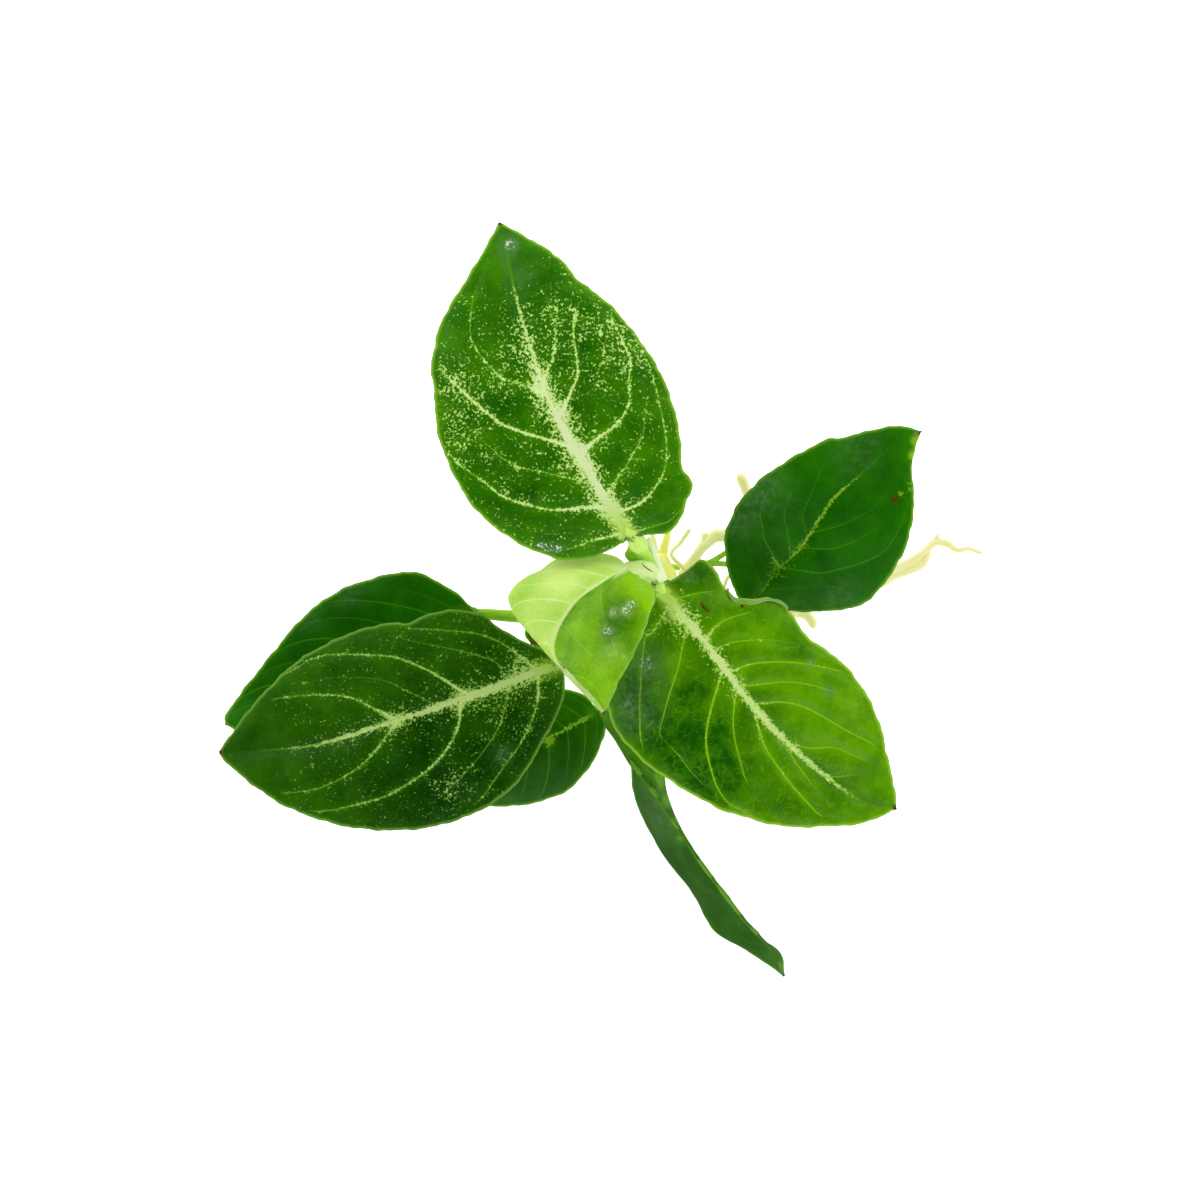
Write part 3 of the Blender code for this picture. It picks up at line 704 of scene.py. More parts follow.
def rootFinish(name, look):
    material, tree, shader, place = tubeFinish(name)
    share = reading(tree, "tubeShare")[0]
    blotch = grain(place, 2.6, 3.0, 0.6, (1, 1, 2.2), look["shift"])
    fine = grain(place, 0.4, 3.0, 0.65, (1, 1, 3), look["shift"] + 3)
    lightness = within((blotch * 1.6 - 0.3) + (fine * 0.8 - 0.4))
    spots = grain(place, 1.1, 2.0, 0.6, (1, 1, 1.6), look["shift"] + 8)
    color = tint(lightness, look["deep"], look["fresh"])
    color = tint(slide(spots, 0.64, 0.76, 0.0, look["stain"]), color, look["brown"])
    color = tint(slide(share, 0.85, 1.0, 0.0, look["tipTint"]), color, look["tip"])
    finishShader(tree, shader, color, fine * 0.3 + 0.28, 0.3, look["glow"])
    emboss(shader, fine, 0.15, 0.6)
    return material


# the looks also hold the colour and the most share of the painted sheen, and the colour of the painted glints
starLook = {
    "deep": srgb(14, 80, 0), "fresh": srgb(68, 138, 0), "cool": srgb(26, 98, 6), "coolShare": 0.5,
    "light": srgb(186, 222, 84), "vein": srgb(108, 176, 30), "speck": srgb(178, 224, 98),
    "pale": srgb(226, 244, 178), "margin": srgb(140, 196, 44), "brown": srgb(84, 72, 6),
    "sheenTint": srgb(104, 142, 88), "underDeep": srgb(70, 118, 45), "underFresh": srgb(112, 156, 76),
    "underVein": srgb(165, 195, 110), "feather": 1.7, "veinPale": 0.5, "veinWidth": 0.36, "ribHalo": 0.27,
    "veinHalo": 0.12, "cluster": 0.52, "dash": 0.9, "fleck": 1.4, "fleckSize": 0.62, "netting": 0.1,
    "line": 0.9, "edge": 0.8, "burn": 1.4, "rimGlow": 0.55, "veinGlow": 0.5, "rough": 0.3, "gloss": 0.15,
    "glow": 0.0, "shift": 1.0, "haloFall": -0.6, "sheenShare": 0.7, "base": srgb(186, 228, 84), "baseEnd": 14.0,
    "edgeWidth": 1.0, "scorch": srgb(30, 34, 8),
    "glint": srgb(232, 242, 232),
}
sheenLook = {
    **starLook, "deep": srgb(8, 54, 0), "fresh": srgb(46, 102, 2), "cool": srgb(26, 78, 8),
    "light": srgb(172, 212, 84), "speck": srgb(124, 174, 62), "pale": srgb(190, 216, 128),
    "vein": srgb(92, 148, 34), "shift": 31.0, "ribHalo": 0.22, "fleckSize": 0.56, "cluster": 0.5,
    "feather": 1.2, "veinPale": 0.45, "margin": srgb(112, 162, 54), "base": srgb(146, 192, 48),
    "baseEnd": 9.0,
}
# this leaf's greens are lighter than the other leaves': painted light for light coming through it
brightLook = {
    **starLook, "deep": srgb(18, 86, 0), "fresh": srgb(98, 164, 0), "cool": srgb(62, 130, 0),
    "light": srgb(176, 222, 62), "vein": srgb(138, 198, 24), "speck": srgb(160, 212, 70),
    "pale": srgb(216, 241, 150), "margin": srgb(160, 206, 60), "underDeep": srgb(90, 145, 60),
    "underFresh": srgb(150, 195, 110), "underVein": srgb(190, 220, 140), "ribHalo": 0.2, "veinHalo": 0.08,
    "netting": 0.28, "veinPale": 0.3, "dash": 1.0, "feather": 1.6, "veinGlow": 0.6, "shift": 57.0,
    "base": srgb(184, 228, 62), "baseEnd": 12.0,
}
darkLook = {
    **starLook, "deep": srgb(8, 70, 0), "fresh": srgb(34, 108, 0), "cool": srgb(16, 82, 0),
    "coolShare": 0.2, "light": srgb(130, 180, 30), "vein": srgb(76, 146, 16), "speck": srgb(110, 164, 26),
    "pale": srgb(150, 190, 56), "ribHalo": 0.12, "veinHalo": 0.06, "cluster": 0.4, "netting": 0.07,
    "line": 0.6, "edge": 0.5, "veinPale": 0.25, "veinGlow": 0.25, "shift": 83.0, "base": srgb(60, 128, 8),
    "baseEnd": 5.0,
}


# leaves

# left and right are the margins between the midrib's first place and its last. crown is how far each half
# is arched, lobe is over 1 where the base has lobes, lower drops the face under its outline, and palePart is
# the pale midrib's half width along the leaf. A patch is its kind, x, y, radius and amount
# sheen patches paint sheen and glints into the colour
usualLeaf = {
    "cell": 0.45, "lobe": 1.0, "lower": 0.3, "speckle": 0.0, "sunk": 0.08, "trough": 0.3, "ripple": 0.3,
    "wobble": 0.22, "keelWidth": 0.8, "patches": (),
}
upperLeaf = {
    **usualLeaf, "node": "upper_leaf", "slot": "stardust_leaf", "look": starLook, "seed": 1.0, "crown": 1.2,
    "lobe": 1.35,
    "midrib": [(7, 14, 58), (0, 24.5, 61.5), (-6.5, 35.5, 63), (-12.5, 47.5, 62.5), (-18, 65, 58),
        (-22.5, 85, 49)],
    "left": [(3.5, 11.4, 57.5), (-1.3, 9.3, 57.5), (-5.8, 8.7, 57.5), (-10.4, 9.2, 57.5), (-19.4, 13, 58),
        (-27.9, 20.1, 58.5), (-33.6, 29, 59), (-36.5, 37.5, 59.5), (-37.2, 46, 59.5), (-38, 52.6, 59),
        (-36, 61.8, 58), (-31, 70.8, 56), (-26.4, 78.4, 53)],
    "right": [(11, 14.3, 58), (15.5, 15, 58), (18.3, 18.2, 58.7), (19.3, 21.5, 59.4), (20.9, 25.6, 60),
        (18.6, 30, 60.8), (18.1, 37, 61), (15.8, 46, 60.5), (11.8, 54.5, 59.5), (4, 64.8, 58),
        (-2, 70, 56.5), (-5.3, 72.5, 55), (-9, 76.8, 54), (-15.3, 81.1, 52)],
    "leftVeins": [
        (0.8, [(6.5, 15), (2, 14), (-2, 13), (-6, 11.5)]),
        (1.0, [(1.5, 20.5), (-3.5, 20.5), (-10, 20), (-15.5, 21), (-21.5, 23), (-25.5, 26), (-30.5, 29.5)]),
        (0.3, [(-2.5, 26), (-6.5, 27), (-12.5, 28.5), (-17.5, 29.5), (-21.5, 31.5), (-29.5, 38.5)]),
        (1.1, [(-7.5, 34.5), (-12.5, 36), (-17.5, 37.5), (-21.5, 39), (-25.5, 42), (-29, 45), (-34.5, 50)]),
        (0.5, [(-14.5, 47), (-19, 48.5), (-22, 49.5), (-24.5, 52), (-27, 55), (-29, 59), (-29, 63.5)])],
    "rightVeins": [
        (0.5, [(8, 15), (12.5, 16.5), (15.5, 17.5), (18, 20)]),
        (1.0, [(5.5, 20), (9, 21.5), (12, 24.5), (14.5, 29), (15, 33.5), (14.5, 38), (12.5, 47)]),
        (0.4, [(3.5, 26.5), (6.5, 31), (9.5, 36.5), (10, 40.5)]),
        (1.0, [(-3.5, 33.5), (0, 36.5), (4, 39.5), (6.5, 44), (6.5, 49.5), (7, 53.5), (5.5, 57)]),
        (0.9, [(-8, 43), (-6.5, 46.5), (-5, 50.5), (-5.5, 56), (-6, 60), (-5.5, 64)]),
        (0.5, [(-12.5, 49.5), (-10.5, 54.5), (-10, 60), (-11, 64.5)])],
    "palePart": [(0, 1.0), (0.05, 1.5), (0.2, 1.5), (0.35, 1.35), (0.45, 0.95), (0.55, 0.6), (0.65, 0.35),
        (0.75, 0.1), (0.85, -0.3), (1, -0.8)],
    "halfWidth": 28, "speckle": 0.27, "lower": 0.45, "swell": 0.18, "sunk": 0.14, "trough": 0.25,
    "ripple": 0.5, "rippleSize": 26, "keel": 0.9, "keelWidth": 0.9,
    # the two darker tone patches paint shade on the blade
    "patches": [("speckle", -22, 79, 8, -0.18), ("speckle", 17, 21, 6, -0.12), ("speckle", 0, 60, 7, 0.1),
        ("speckle", -33, 34, 6, 0.08), ("speckle", 0, 49, 6, 0.08), ("paintedSheen", -20, 79.8, 1.6, 0.75),
        ("speckle", -31, 47, 8, 0.14), ("speckle", -18, 55, 7, 0.08), ("speckle", -9, 64, 5, 0.08),
        ("speckle", 7, 56, 5, 0.1), ("speckle", -20, 28, 7, 0.05), ("speckle", -5, 33, 2.5, 0.3),
        ("speckle", 1.5, 21.5, 2.5, 0.2), ("speckle", -9, 42, 2.5, 0.3), ("speckle", -13.5, 47, 2.5, 0.25),
        ("tone", -20, 28, 10, -0.25), ("tone", -10, 60, 10, -0.2), ("tone", 12, 30, 10, 0.1),
        ("paintedSheen", -21, 79, 2.4, 0.45), ("paintedSheen", -17, 72.5, 2.5, 0.3), ("paintedSheen", -9.6, 11.6, 0.9, 2.4),
        ("paintedSheen", -11.8, 11.8, 0.9, 2.4), ("paintedSheen", -13.4, 12.2, 0.7, 2.0)],
}
rightLeaf = {
    **usualLeaf, "node": "right_leaf", "slot": "bright_leaf", "look": brightLook, "seed": 2.0, "crown": 1.2,
    "lobe": 1.35,
    "midrib": [(12.5, 3.5, 46), (19, -4, 46.5), (25, -11.5, 45.5), (35, -24.5, 42), (46.5, -36, 37),
        (58.5, -45, 32), (67, -47, 30)],
    "left": [(16, 4.5, 45.5), (20.2, 7.7, 44.5), (22.7, 9.3, 44), (25.3, 7.7, 43.5), (29.2, 1.6, 42.5),
        (34, 0.6, 43), (38, 0.7, 43), (42, -1.2, 42.5), (46.8, -8, 41), (54.5, -13.7, 39),
        (59.5, -19.8, 37.5), (63, -27.5, 36), (65, -35, 34), (66.8, -43, 31)],
    "right": [(9, 0, 44.5), (4.5, -9, 42), (1.5, -19, 40.5), (2, -26.8, 40), (6, -33, 40),
        (13.4, -39.4, 40), (23.2, -45.4, 39), (30.2, -48.4, 38.5), (43.5, -51.4, 36), (57.7, -50.8, 32.5),
        (63.5, -49, 31)],
    "leftVeins": [
        (0.3, [(18, 0.5), (22, 1.5), (26, 2)]),
        (0.7, [(24, -9), (26, -6), (29, -4), (32.5, -3)]),
        (0.3, [(26.5, -11), (30, -9.5), (37.5, -9), (42.5, -9.5)]),
        (0.8, [(30, -16), (34, -14.5), (38.5, -14), (42.5, -14), (47, -14.5), (52, -15.5)]),
        (0.5, [(31.5, -19.5), (36.5, -19), (41.5, -18.5), (47, -19), (52, -20.5)]),
        (0.8, [(35.5, -23.5), (40.5, -23), (45.5, -24), (50.5, -26.5), (55.5, -29.5), (60.5, -32)]),
        (0.4, [(42.5, -32.5), (47.5, -33.5), (53, -33.5), (59, -36)]),
        (0.3, [(52, -40), (58, -39.5)])],
    "rightVeins": [
        (0.6, [(14.5, -3), (11.5, -7.5), (10, -9), (9, -21.5), (9, -30.5)]),
        (0.4, [(18.5, -10.5), (17.5, -15.5), (15.5, -21.5), (14, -27), (13.5, -30.5), (17, -34),
            (20, -38)]),
        (0.9, [(26.5, -19.5), (25, -24.5), (24, -29.5), (24, -33.5), (25, -38), (26.5, -42.5), (29, -46)]),
        (0.5, [(30.5, -22), (30, -27), (30.5, -32), (32.5, -39.5)]),
        (0.7, [(35, -25.5), (36, -29.5), (37.5, -33.5), (40.5, -38), (44, -42.5), (49, -48)]),
        (0.4, [(44.5, -37), (47.5, -41)])],
    "palePart": [(0, 1.5), (0.08, 1.4), (0.2, 1.25), (0.4, 1.0), (0.55, 0.8), (0.68, 0.55), (0.8, 0.25),
        (0.88, -0.2), (1, -0.8)],
    "halfWidth": 27, "speckle": 0.12, "swell": 0.35, "sunk": 0.2, "ripple": 0.5, "rippleSize": 22,
    "keel": 0.9, "keelWidth": 0.9,
    # the strong lighter tone patch on the right of the blade paints light
    "patches": [("tone", 56, -24, 11, 0.85), ("tone", 21, -37, 14, -0.6), ("tone", 8, -25, 9, -0.5),
        ("tone", 34.2, -8.6, 1.3, 0.6), ("tone", 36.4, -7.4, 1.2, 0.6), ("tone", 45.5, -11.5, 3, -0.6),
        ("tone", 23.5, 6.5, 4, -0.5), ("tone", 36, -12, 9, 0.3), ("paintedSheen", 10.5, -14, 4, 0.8),
        ("paintedSheen", 6.5, -24, 6, 0.7), ("paintedSheen", 47.5, -14, 1.0, 0.8), ("paintedSheen", 51.5, -20.5, 1.2, 0.7),
        ("paintedSheen", 20, 5.5, 1.8, 0.6), ("brown", 31.9, -1.4, 0.45, 1.3), ("brown", 22.9, -0.9, 0.45, 0.9),
        ("brown", 23.2, -1.6, 0.4, 1.2), ("brown", 23.8, -2.1, 0.4, 1.1), ("brown", 24.4, -2.5, 0.4, 0.8),
        ("speckle", 19, -3, 4.5, 0.2), ("speckle", 15.5, -4.5, 3.5, 0.22), ("speckle", 29, -16, 4, 0.12),
        ("speckle", 11.5, -7.5, 2, 0.3), ("speckle", 10.3, -12, 1.5, 0.25), ("speckle", 36, -8.5, 2, 0.2),
        ("speckle", 24.5, -11, 4, 0.1), ("speckle", 45, -36, 3, 0.1)],
}
leftLeaf = {
    **usualLeaf, "node": "left_leaf", "slot": "stardust_leaf", "look": sheenLook, "seed": 3.0, "crown": 1.2,
    "lobe": 1.35,
    "midrib": [(-9.5, -14.5, 40), (-17.5, -17.5, 39.5), (-30, -22, 38), (-47, -27.5, 35),
        (-63.5, -32.5, 30), (-76, -34, 26), (-86.5, -34.5, 22)],
    "left": [(-7.8, -17.5, 39.5), (-8.6, -24, 38.5), (-12.8, -32.2, 37.5), (-18.2, -41, 36.5),
        (-26.2, -47.2, 35.5), (-36.4, -51.1, 34), (-47, -52.2, 32.5), (-57.7, -51.2, 31),
        (-69.3, -47.7, 28.5), (-77, -43.2, 26), (-84.3, -37.4, 23)],
    "right": [(-10.8, -11.9, 39), (-15.2, -9.9, 38.4), (-19.2, -7.9, 38), (-22.9, -5.6, 37.9),
        (-25.6, -3.4, 37.8), (-29.5, -2.3, 37.5), (-34.5, -2.2, 37), (-39, -3.2, 36.5), (-43, -4.9, 36),
        (-46.5, -5, 35.5), (-50.5, -5.5, 34.7), (-58.5, -8.1, 33), (-68.2, -13.4, 30), (-77.2, -21.8, 26.5),
        (-83.8, -30.4, 23)],
    "rightVeins": [
        (0.8, [(-14, -16), (-20, -11), (-23.5, -9), (-28, -7.5), (-33.5, -7), (-41, -6.5)]),
        (0.3, [(-21.5, -17), (-23.5, -14), (-29.5, -12), (-36, -10.5), (-43.5, -9)]),
        (1.0, [(-30.5, -21), (-34.5, -18.5), (-38.5, -16), (-42, -14.5), (-46, -13), (-51, -12.5),
            (-62.5, -12.5), (-70, -16)]),
        (0.2, [(-38.5, -23), (-43.5, -20.5), (-49.5, -18), (-58.5, -17.5), (-66, -18.5)]),
        (0.9, [(-47, -26.5), (-51, -24.5), (-55, -22.5), (-59.5, -21.5), (-66, -21.5), (-72, -22)])],
    "leftVeins": [
        (0.8, [(-14, -17.5), (-14, -22.5), (-15.5, -27.5), (-18, -32.5), (-22, -38), (-25.5, -43)]),
        (0.3, [(-20.5, -20), (-22, -26.5), (-24.5, -31.5), (-29.5, -38), (-35, -43.5)]),
        (1.0, [(-31.5, -24), (-32, -28.5), (-34.5, -33.5), (-38.5, -38), (-43.5, -41.5), (-49, -44.5),
            (-60.5, -47.5)]),
        (0.7, [(-46.5, -28.5), (-49.5, -32.5), (-53, -36.5), (-58, -40), (-63.5, -42.5), (-69, -43.5)])],
    "palePart": [(0, 1.1), (0.15, 1.1), (0.3, 0.9), (0.5, 0.6), (0.65, 0.4), (0.78, 0.1), (0.86, -0.2),
        (1, -0.8)],
    "halfWidth": 24, "speckle": 0.24, "swell": 0.12, "sunk": 0.12, "ripple": 0.4, "rippleSize": 24,
    "keel": 0.9, "keelWidth": 0.9,
    # the darker tone patches at the lower right paint shade, and the lighter one at the far end paints sheen
    "patches": [("tone", -35, -42, 16, -0.6), ("tone", -70, -22, 14, 0.3), ("tone", -38, -6, 10, 0.15),
        ("tone", -17, -33, 9, -0.5), ("speckle", -17, -16, 4, 0.2), ("speckle", -31, -22, 3, 0.2),
        ("speckle", -46, -27, 3, 0.15), ("speckle", -34, -42, 6, 0.15), ("speckle", -20, -24, 7, 0.12),
        ("speckle", -79, -34, 7, -0.15), ("paintedSheen", -33, -42, 3, 0.12), ("paintedSheen", -22, -35, 2, 0.4)],
}
backLeftLeaf = {
    **usualLeaf, "node": "back_left_leaf", "slot": "dark_leaf",
    "look": {**darkLook, "brown": srgb(96, 140, 40)}, "seed": 4.0, "crown": 0.8, "lobe": 1.2,
    "midrib": [(-28.5, -2.5, 20), (-36, -5.5, 20), (-45.5, -9.5, 18), (-59, -15.5, 14), (-73, -22, 8),
        (-85.5, -28.5, 1)],
    "left": [(-29.5, -9, 18), (-34, -18, 15.5), (-43, -24.5, 13), (-57, -28.5, 10), (-70.5, -30.5, 6),
        (-81, -30.5, 2.5)],
    "right": [(-32, 1.4, 19.5), (-40, 5.9, 18.5), (-46.7, 6.2, 17.5), (-57.9, 3, 15.5), (-67, -3.1, 13),
        (-74, -11.1, 10), (-80.5, -19.2, 6.5), (-85.3, -26, 2.5)],
    "veinRule": (7, 0.4, 0.35), "palePart": [(0, 0.3), (0.3, 0.0), (0.7, -0.3), (1, -0.8)],
    "patches": [("paintedSheen", -66, -4, 3, 0.25), ("paintedSheen", -57, 1.5, 3, 0.25), ("tone", -84, -26, 4, 0.8),
        ("tone", -46, 2, 9, 0.4)],
    "halfWidth": 18, "swell": 0.06, "rippleSize": 24, "keel": 0.8, "cell": 0.6,
}
lowerLeaf = {
    **usualLeaf, "node": "lower_leaf", "slot": "dark_leaf",
    "look": {**darkLook, "shift": 120.0, "deep": srgb(10, 64, 0), "fresh": srgb(44, 106, 0)}, "seed": 5.0,
    "crown": 0.8, "lobe": 1.2,
    "midrib": [(0, -25.5, 14), (-6, -28.5, 16), (-12.5, -32, 16.5), (-20.5, -36.5, 15), (-29.5, -41.5, 11),
        (-37.5, -46, 7)],
    "left": [(1.5, -29, 13), (-0.5, -35.5, 12), (-5.5, -42, 11), (-10, -45, 10.5), (-18, -47, 9.5),
        (-26.5, -47.3, 8), (-33, -47, 7)],
    "right": [(-3.5, -21.5, 15), (-10, -20, 15), (-19.5, -22.5, 14), (-28.5, -28.5, 12), (-35, -36.5, 9),
        (-38, -42, 8)],
    "veinRule": (8, 0.22, 0.4), "palePart": [(0, 0.5), (0.2, 0.4), (0.4, 0.0), (0.7, -0.3), (1, -0.8)],
    "patches": [("tone", -11.4, -32, 1.4, 2.0), ("speckle", -11.4, -32, 1.5, 0.5)], "halfWidth": 13,
    "speckle": 0.1, "swell": 0.1, "sunk": 0.1, "rippleSize": 20, "keel": 0.8, "cell": 0.55,
}
farRightLeaf = {
    **usualLeaf, "node": "far_right_leaf", "slot": "dark_leaf", "seed": 6.0, "crown": 0.8, "lobe": 1.3,
    "look": {**darkLook, "shift": 150.0, "deep": srgb(8, 76, 0), "fresh": srgb(40, 120, 0),
        "brown": srgb(76, 64, 8)},
    "midrib": [(35.5, 0, 31), (40, 6.5, 34), (45.5, 12, 36.5), (52, 22, 40), (58.5, 28, 41),
        (65.5, 34.5, 41), (72.5, 38, 39.5)],
    "left": [(32.6, -0.6, 31), (30.3, 1.8, 32), (28.8, 6.2, 33.5), (27.9, 12.4, 35.5), (28.5, 16.5, 36.7),
        (31.8, 22.9, 38.2), (38.6, 29.3, 39.3), (49.9, 35.8, 40), (55.2, 36.9, 40), (63.8, 39.1, 39.6),
        (69, 39.2, 39.5)],
    "right": [(38, -1.5, 30.5), (43.5, -2.7, 30), (52, -2.8, 31), (59.5, -1.1, 32), (65, 4.4, 34),
        (69.3, 12.4, 36), (70.9, 21.5, 37.5), (70.5, 31, 38.5)],
    "leftVeins": [
        (0.2, [(36.5, 3), (34.5, 7.5), (33.5, 12.5), (33, 17)]),
        (0.5, [(40, 8), (38.5, 11), (37, 13.5), (36.5, 16.5), (36, 19.5), (37, 22.5)]),
        (0.3, [(43, 10), (42.5, 14), (41.5, 19), (42.5, 22.5)]),
        (0.3, [(46, 16), (45.5, 19), (48, 25), (49.5, 29)])],
    "rightVeins": [
        (0.2, [(38, 2), (42, 2.5), (54.5, 3)]),
        (0.5, [(42, 7), (45.5, 6.5), (50, 6), (54.5, 7), (59.5, 8.5), (63.5, 10.5), (66, 13.5),
            (68, 17.5)]),
        (0.3, [(48, 11.5), (52.5, 11.5), (57, 13), (61.5, 15.5)]),
        (0.3, [(49.5, 15.5), (53.5, 16.5), (57, 18), (60, 19.5), (63.5, 22.5)]),
        (0.2, [(52.5, 21), (56, 23.5)])],
    "palePart": [(0, 0.2), (0.15, 0.0), (0.3, 0.3), (0.45, 0.4), (0.6, 0.2), (0.7, -0.2), (1, -0.8)],
    "halfWidth": 22, "speckle": 0.05, "swell": 0.06, "trough": 0.35, "rippleSize": 24, "keel": 0.8,
    "cell": 0.5,
    "patches": [("brown", 66, 22.4, 0.9, 0.9), ("brown", 66.8, 23.2, 0.5, 0.6),
        ("speckle", 69.8, 25, 1.8, 0.45), ("speckle", 67.6, 23.9, 0.8, 0.5), ("brown", 70.3, 28, 0.8, 0.6),
        ("brown", 70.3, 31, 0.7, 0.6), ("tone", 71.3, 36, 1.8, 2.2), ("tone", 70.2, 32.5, 1.4, 1.8),
        ("paintedSheen", 36, 25, 6, 0.6), ("paintedSheen", 31, 17, 3.5, 0.5), ("paintedSheen", 54, -1, 5, 0.35),
        ("paintedSheen", 44, -1, 4, 0.3), ("paintedSheen", 58, 34, 6, 0.25), ("speckle", 40, 6.5, 4, 0.35),
        ("speckle", 45, 12, 3, 0.3), ("speckle", 36, 12, 4, 0.12)],
}
foldedLeaf = {
    **usualLeaf, "node": "folded_leaf", "slot": "dark_leaf",
    "look": {**darkLook, "shift": 180.0, "line": 0.15, "light": srgb(104, 166, 24),
        "deep": srgb(30, 78, 10), "fresh": srgb(60, 112, 28), "underVein": srgb(100, 160, 20)},
    "seed": 7.0, "crown": 0.6, "leftCrown": 0.2,
    "midrib": [(7, -36.5, 25), (14, -46, 25), (19, -53.5, 24.5), (23, -59.5, 23.5), (27.5, -65.5, 21),
        (32.5, -72, 17), (37, -77, 11), (40, -80.5, 6.6), (42, -86, 4)],
    "left": [(13.6, -38, 19), (15, -43, 15.5), (17, -48.8, 12), (18.8, -53, 9.5), (21.6, -58.2, 7),
        (25.8, -64.2, 4.8), (30.8, -70.8, 3), (35.8, -76.6, 3.5), (41.4, -80.6, 3.6)],
    "right": [(7.3, -42, 15), (9.4, -49, 7), (13.1, -56.2, 3), (18, -63, 1.5), (21.7, -68, 1),
        (23.7, -72.5, 0.9), (27.2, -76.7, 0.9), (33.5, -79.9, 0.9), (38.5, -83.4, 2)],
    "veinRule": (10, 0.5, 0.15), "palePart": [(0, -0.3), (1, -0.8)], "halfWidth": 22, "swell": 0.05,
    "sunk": 0.03, "trough": 0.1, "ripple": 0.25, "rippleSize": 20, "keel": 0.05, "cell": 0.55, "lower": 0.0,
    "patches": [("tone", 12.9, -41, 2.4, 2.4), ("tone", 15.4, -45.5, 2.0, 2.2),
        ("tone", 17.2, -50, 1.3, 1.8), ("tone", 18.2, -54, 1.1, 1.5), ("tone", 40.5, -82, 2.5, 0.8),
        ("paintedSheen", 14, -51, 4, 0.35), ("paintedSheen", 12, -46, 4, 0.3)],
}
# glow in this look and in the sheath's, pouch's and wing's is painted light, an emission for light coming
# through thin tissue
youngLook = {
    **starLook, "deep": srgb(144, 202, 44), "fresh": srgb(204, 232, 118), "fleckSize": 0.4,
    "cool": srgb(172, 214, 80), "coolShare": 0.1, "otherHalf": (srgb(46, 114, 0), srgb(140, 204, 8)),
    "light": srgb(214, 236, 140), "vein": srgb(222, 238, 160), "speck": srgb(205, 228, 140),
    "pale": srgb(216, 234, 164), "margin": srgb(206, 220, 150), "underDeep": srgb(150, 196, 70),
    "underFresh": srgb(190, 224, 120), "underVein": srgb(220, 238, 170), "ribHalo": 0.0, "veinHalo": 0.0,
    "cluster": 0.1, "dash": 0.25, "fleck": 0.15, "netting": 0.0, "line": 0.5, "edge": 0.15, "glow": 0.05,
    "burn": 0.7, "veinPale": 0.1, "veinGlow": 0.2, "rimGlow": 0.2, "feather": 2.4, "rough": 0.34,
    "gloss": 0.3, "shift": 210.0, "base": srgb(206, 226, 150), "baseEnd": 5.0, "sheenTint": srgb(178, 210, 128),
    "sheenShare": 0.3,
}
youngLeaf = {
    **usualLeaf, "node": "young_leaf", "slot": "young_leaf", "look": youngLook, "seed": 8.0, "crown": 0.5,
    "leftCrown": -2.0,
    "midrib": [(6.2, 7.8, 53.4), (3.8, 6, 55.5), (0.5, 4, 57.8), (-4.5, 0.5, 60), (-8.5, -4.5, 60),
        (-10.5, -9.5, 58.5), (-10, -13.5, 56), (-6.5, -17.5, 52.5), (-2, -22, 49), (1, -25.5, 46.5)],
    "left": [(7.4, 6.5, 53), (9.4, 4.9, 51.8), (11.1, 3.9, 51), (12.1, 2.5, 50.6), (12.4, 0.4, 50.8),
        (11.6, -2.7, 51.3), (10.1, -6.7, 51.2), (8.6, -10.4, 50.8), (6.8, -13.9, 50), (4, -19, 48.7),
        (2.1, -23.2, 47.2)],
    "right": [(4.6, 9.3, 52.8), (2.3, 10.3, 52.8), (-2, 10.8, 53), (-9.2, 9.5, 52.2), (-13.4, 7.2, 50.8),
        (-17.3, 5.2, 49.7), (-19.8, 2.8, 48.6), (-20.8, 0, 48), (-18.7, -4.6, 48), (-14, -9.6, 48.5),
        (-11.3, -12.8, 48), (-8, -16.7, 47.5), (-3.5, -21.7, 47)],
    "veinRule": (9, 0.25, 0.5), "leftVeinRule": (7, 0.7, 0.12),
    "palePart": [(0, 0.3), (0.2, 0.55), (0.7, 0.45), (0.9, 0.1), (1, -0.5)], "halfWidth": 20, "swell": 0.15,
    "sunk": -0.12, "trough": -0.35, "ripple": 0.2, "rippleSize": 18, "keel": 0.3,
    # the darker tone patches in the east half paint shade in its hollow, and the sheen patches paint glints
    # and sheen
    "patches": [("tone", 5, -2.5, 4, -0.5), ("tone", 2.5, -7.5, 3.5, -0.4), ("tone", -9, 6, 5, 0.5),
        ("tone", 9, 3, 3.4, 0.9), ("tone", 11, -1, 2, 0.4), ("tone", -3, -6, 4, 0.4),
        ("tone", 0, -20, 5, 0.3), ("paintedSheen", 5.8, -2.2, 1.1, 1.5), ("paintedSheen", 7.2, -0.8, 0.9, 1.4),
        ("paintedSheen", 1.6, -6.9, 1.1, 1.5), ("paintedSheen", 2.9, -2.8, 0.9, 1.3), ("paintedSheen", 2, -12, 2.0, 0.3),
        ("paintedSheen", 3.5, -9.5, 1.8, 0.3), ("paintedSheen", 5.5, -12.8, 0.6, 1.2), ("paintedSheen", -2.6, 9.6, 0.8, 1.6),
        ("paintedSheen", -4.6, 9.5, 0.8, 1.6)],
}
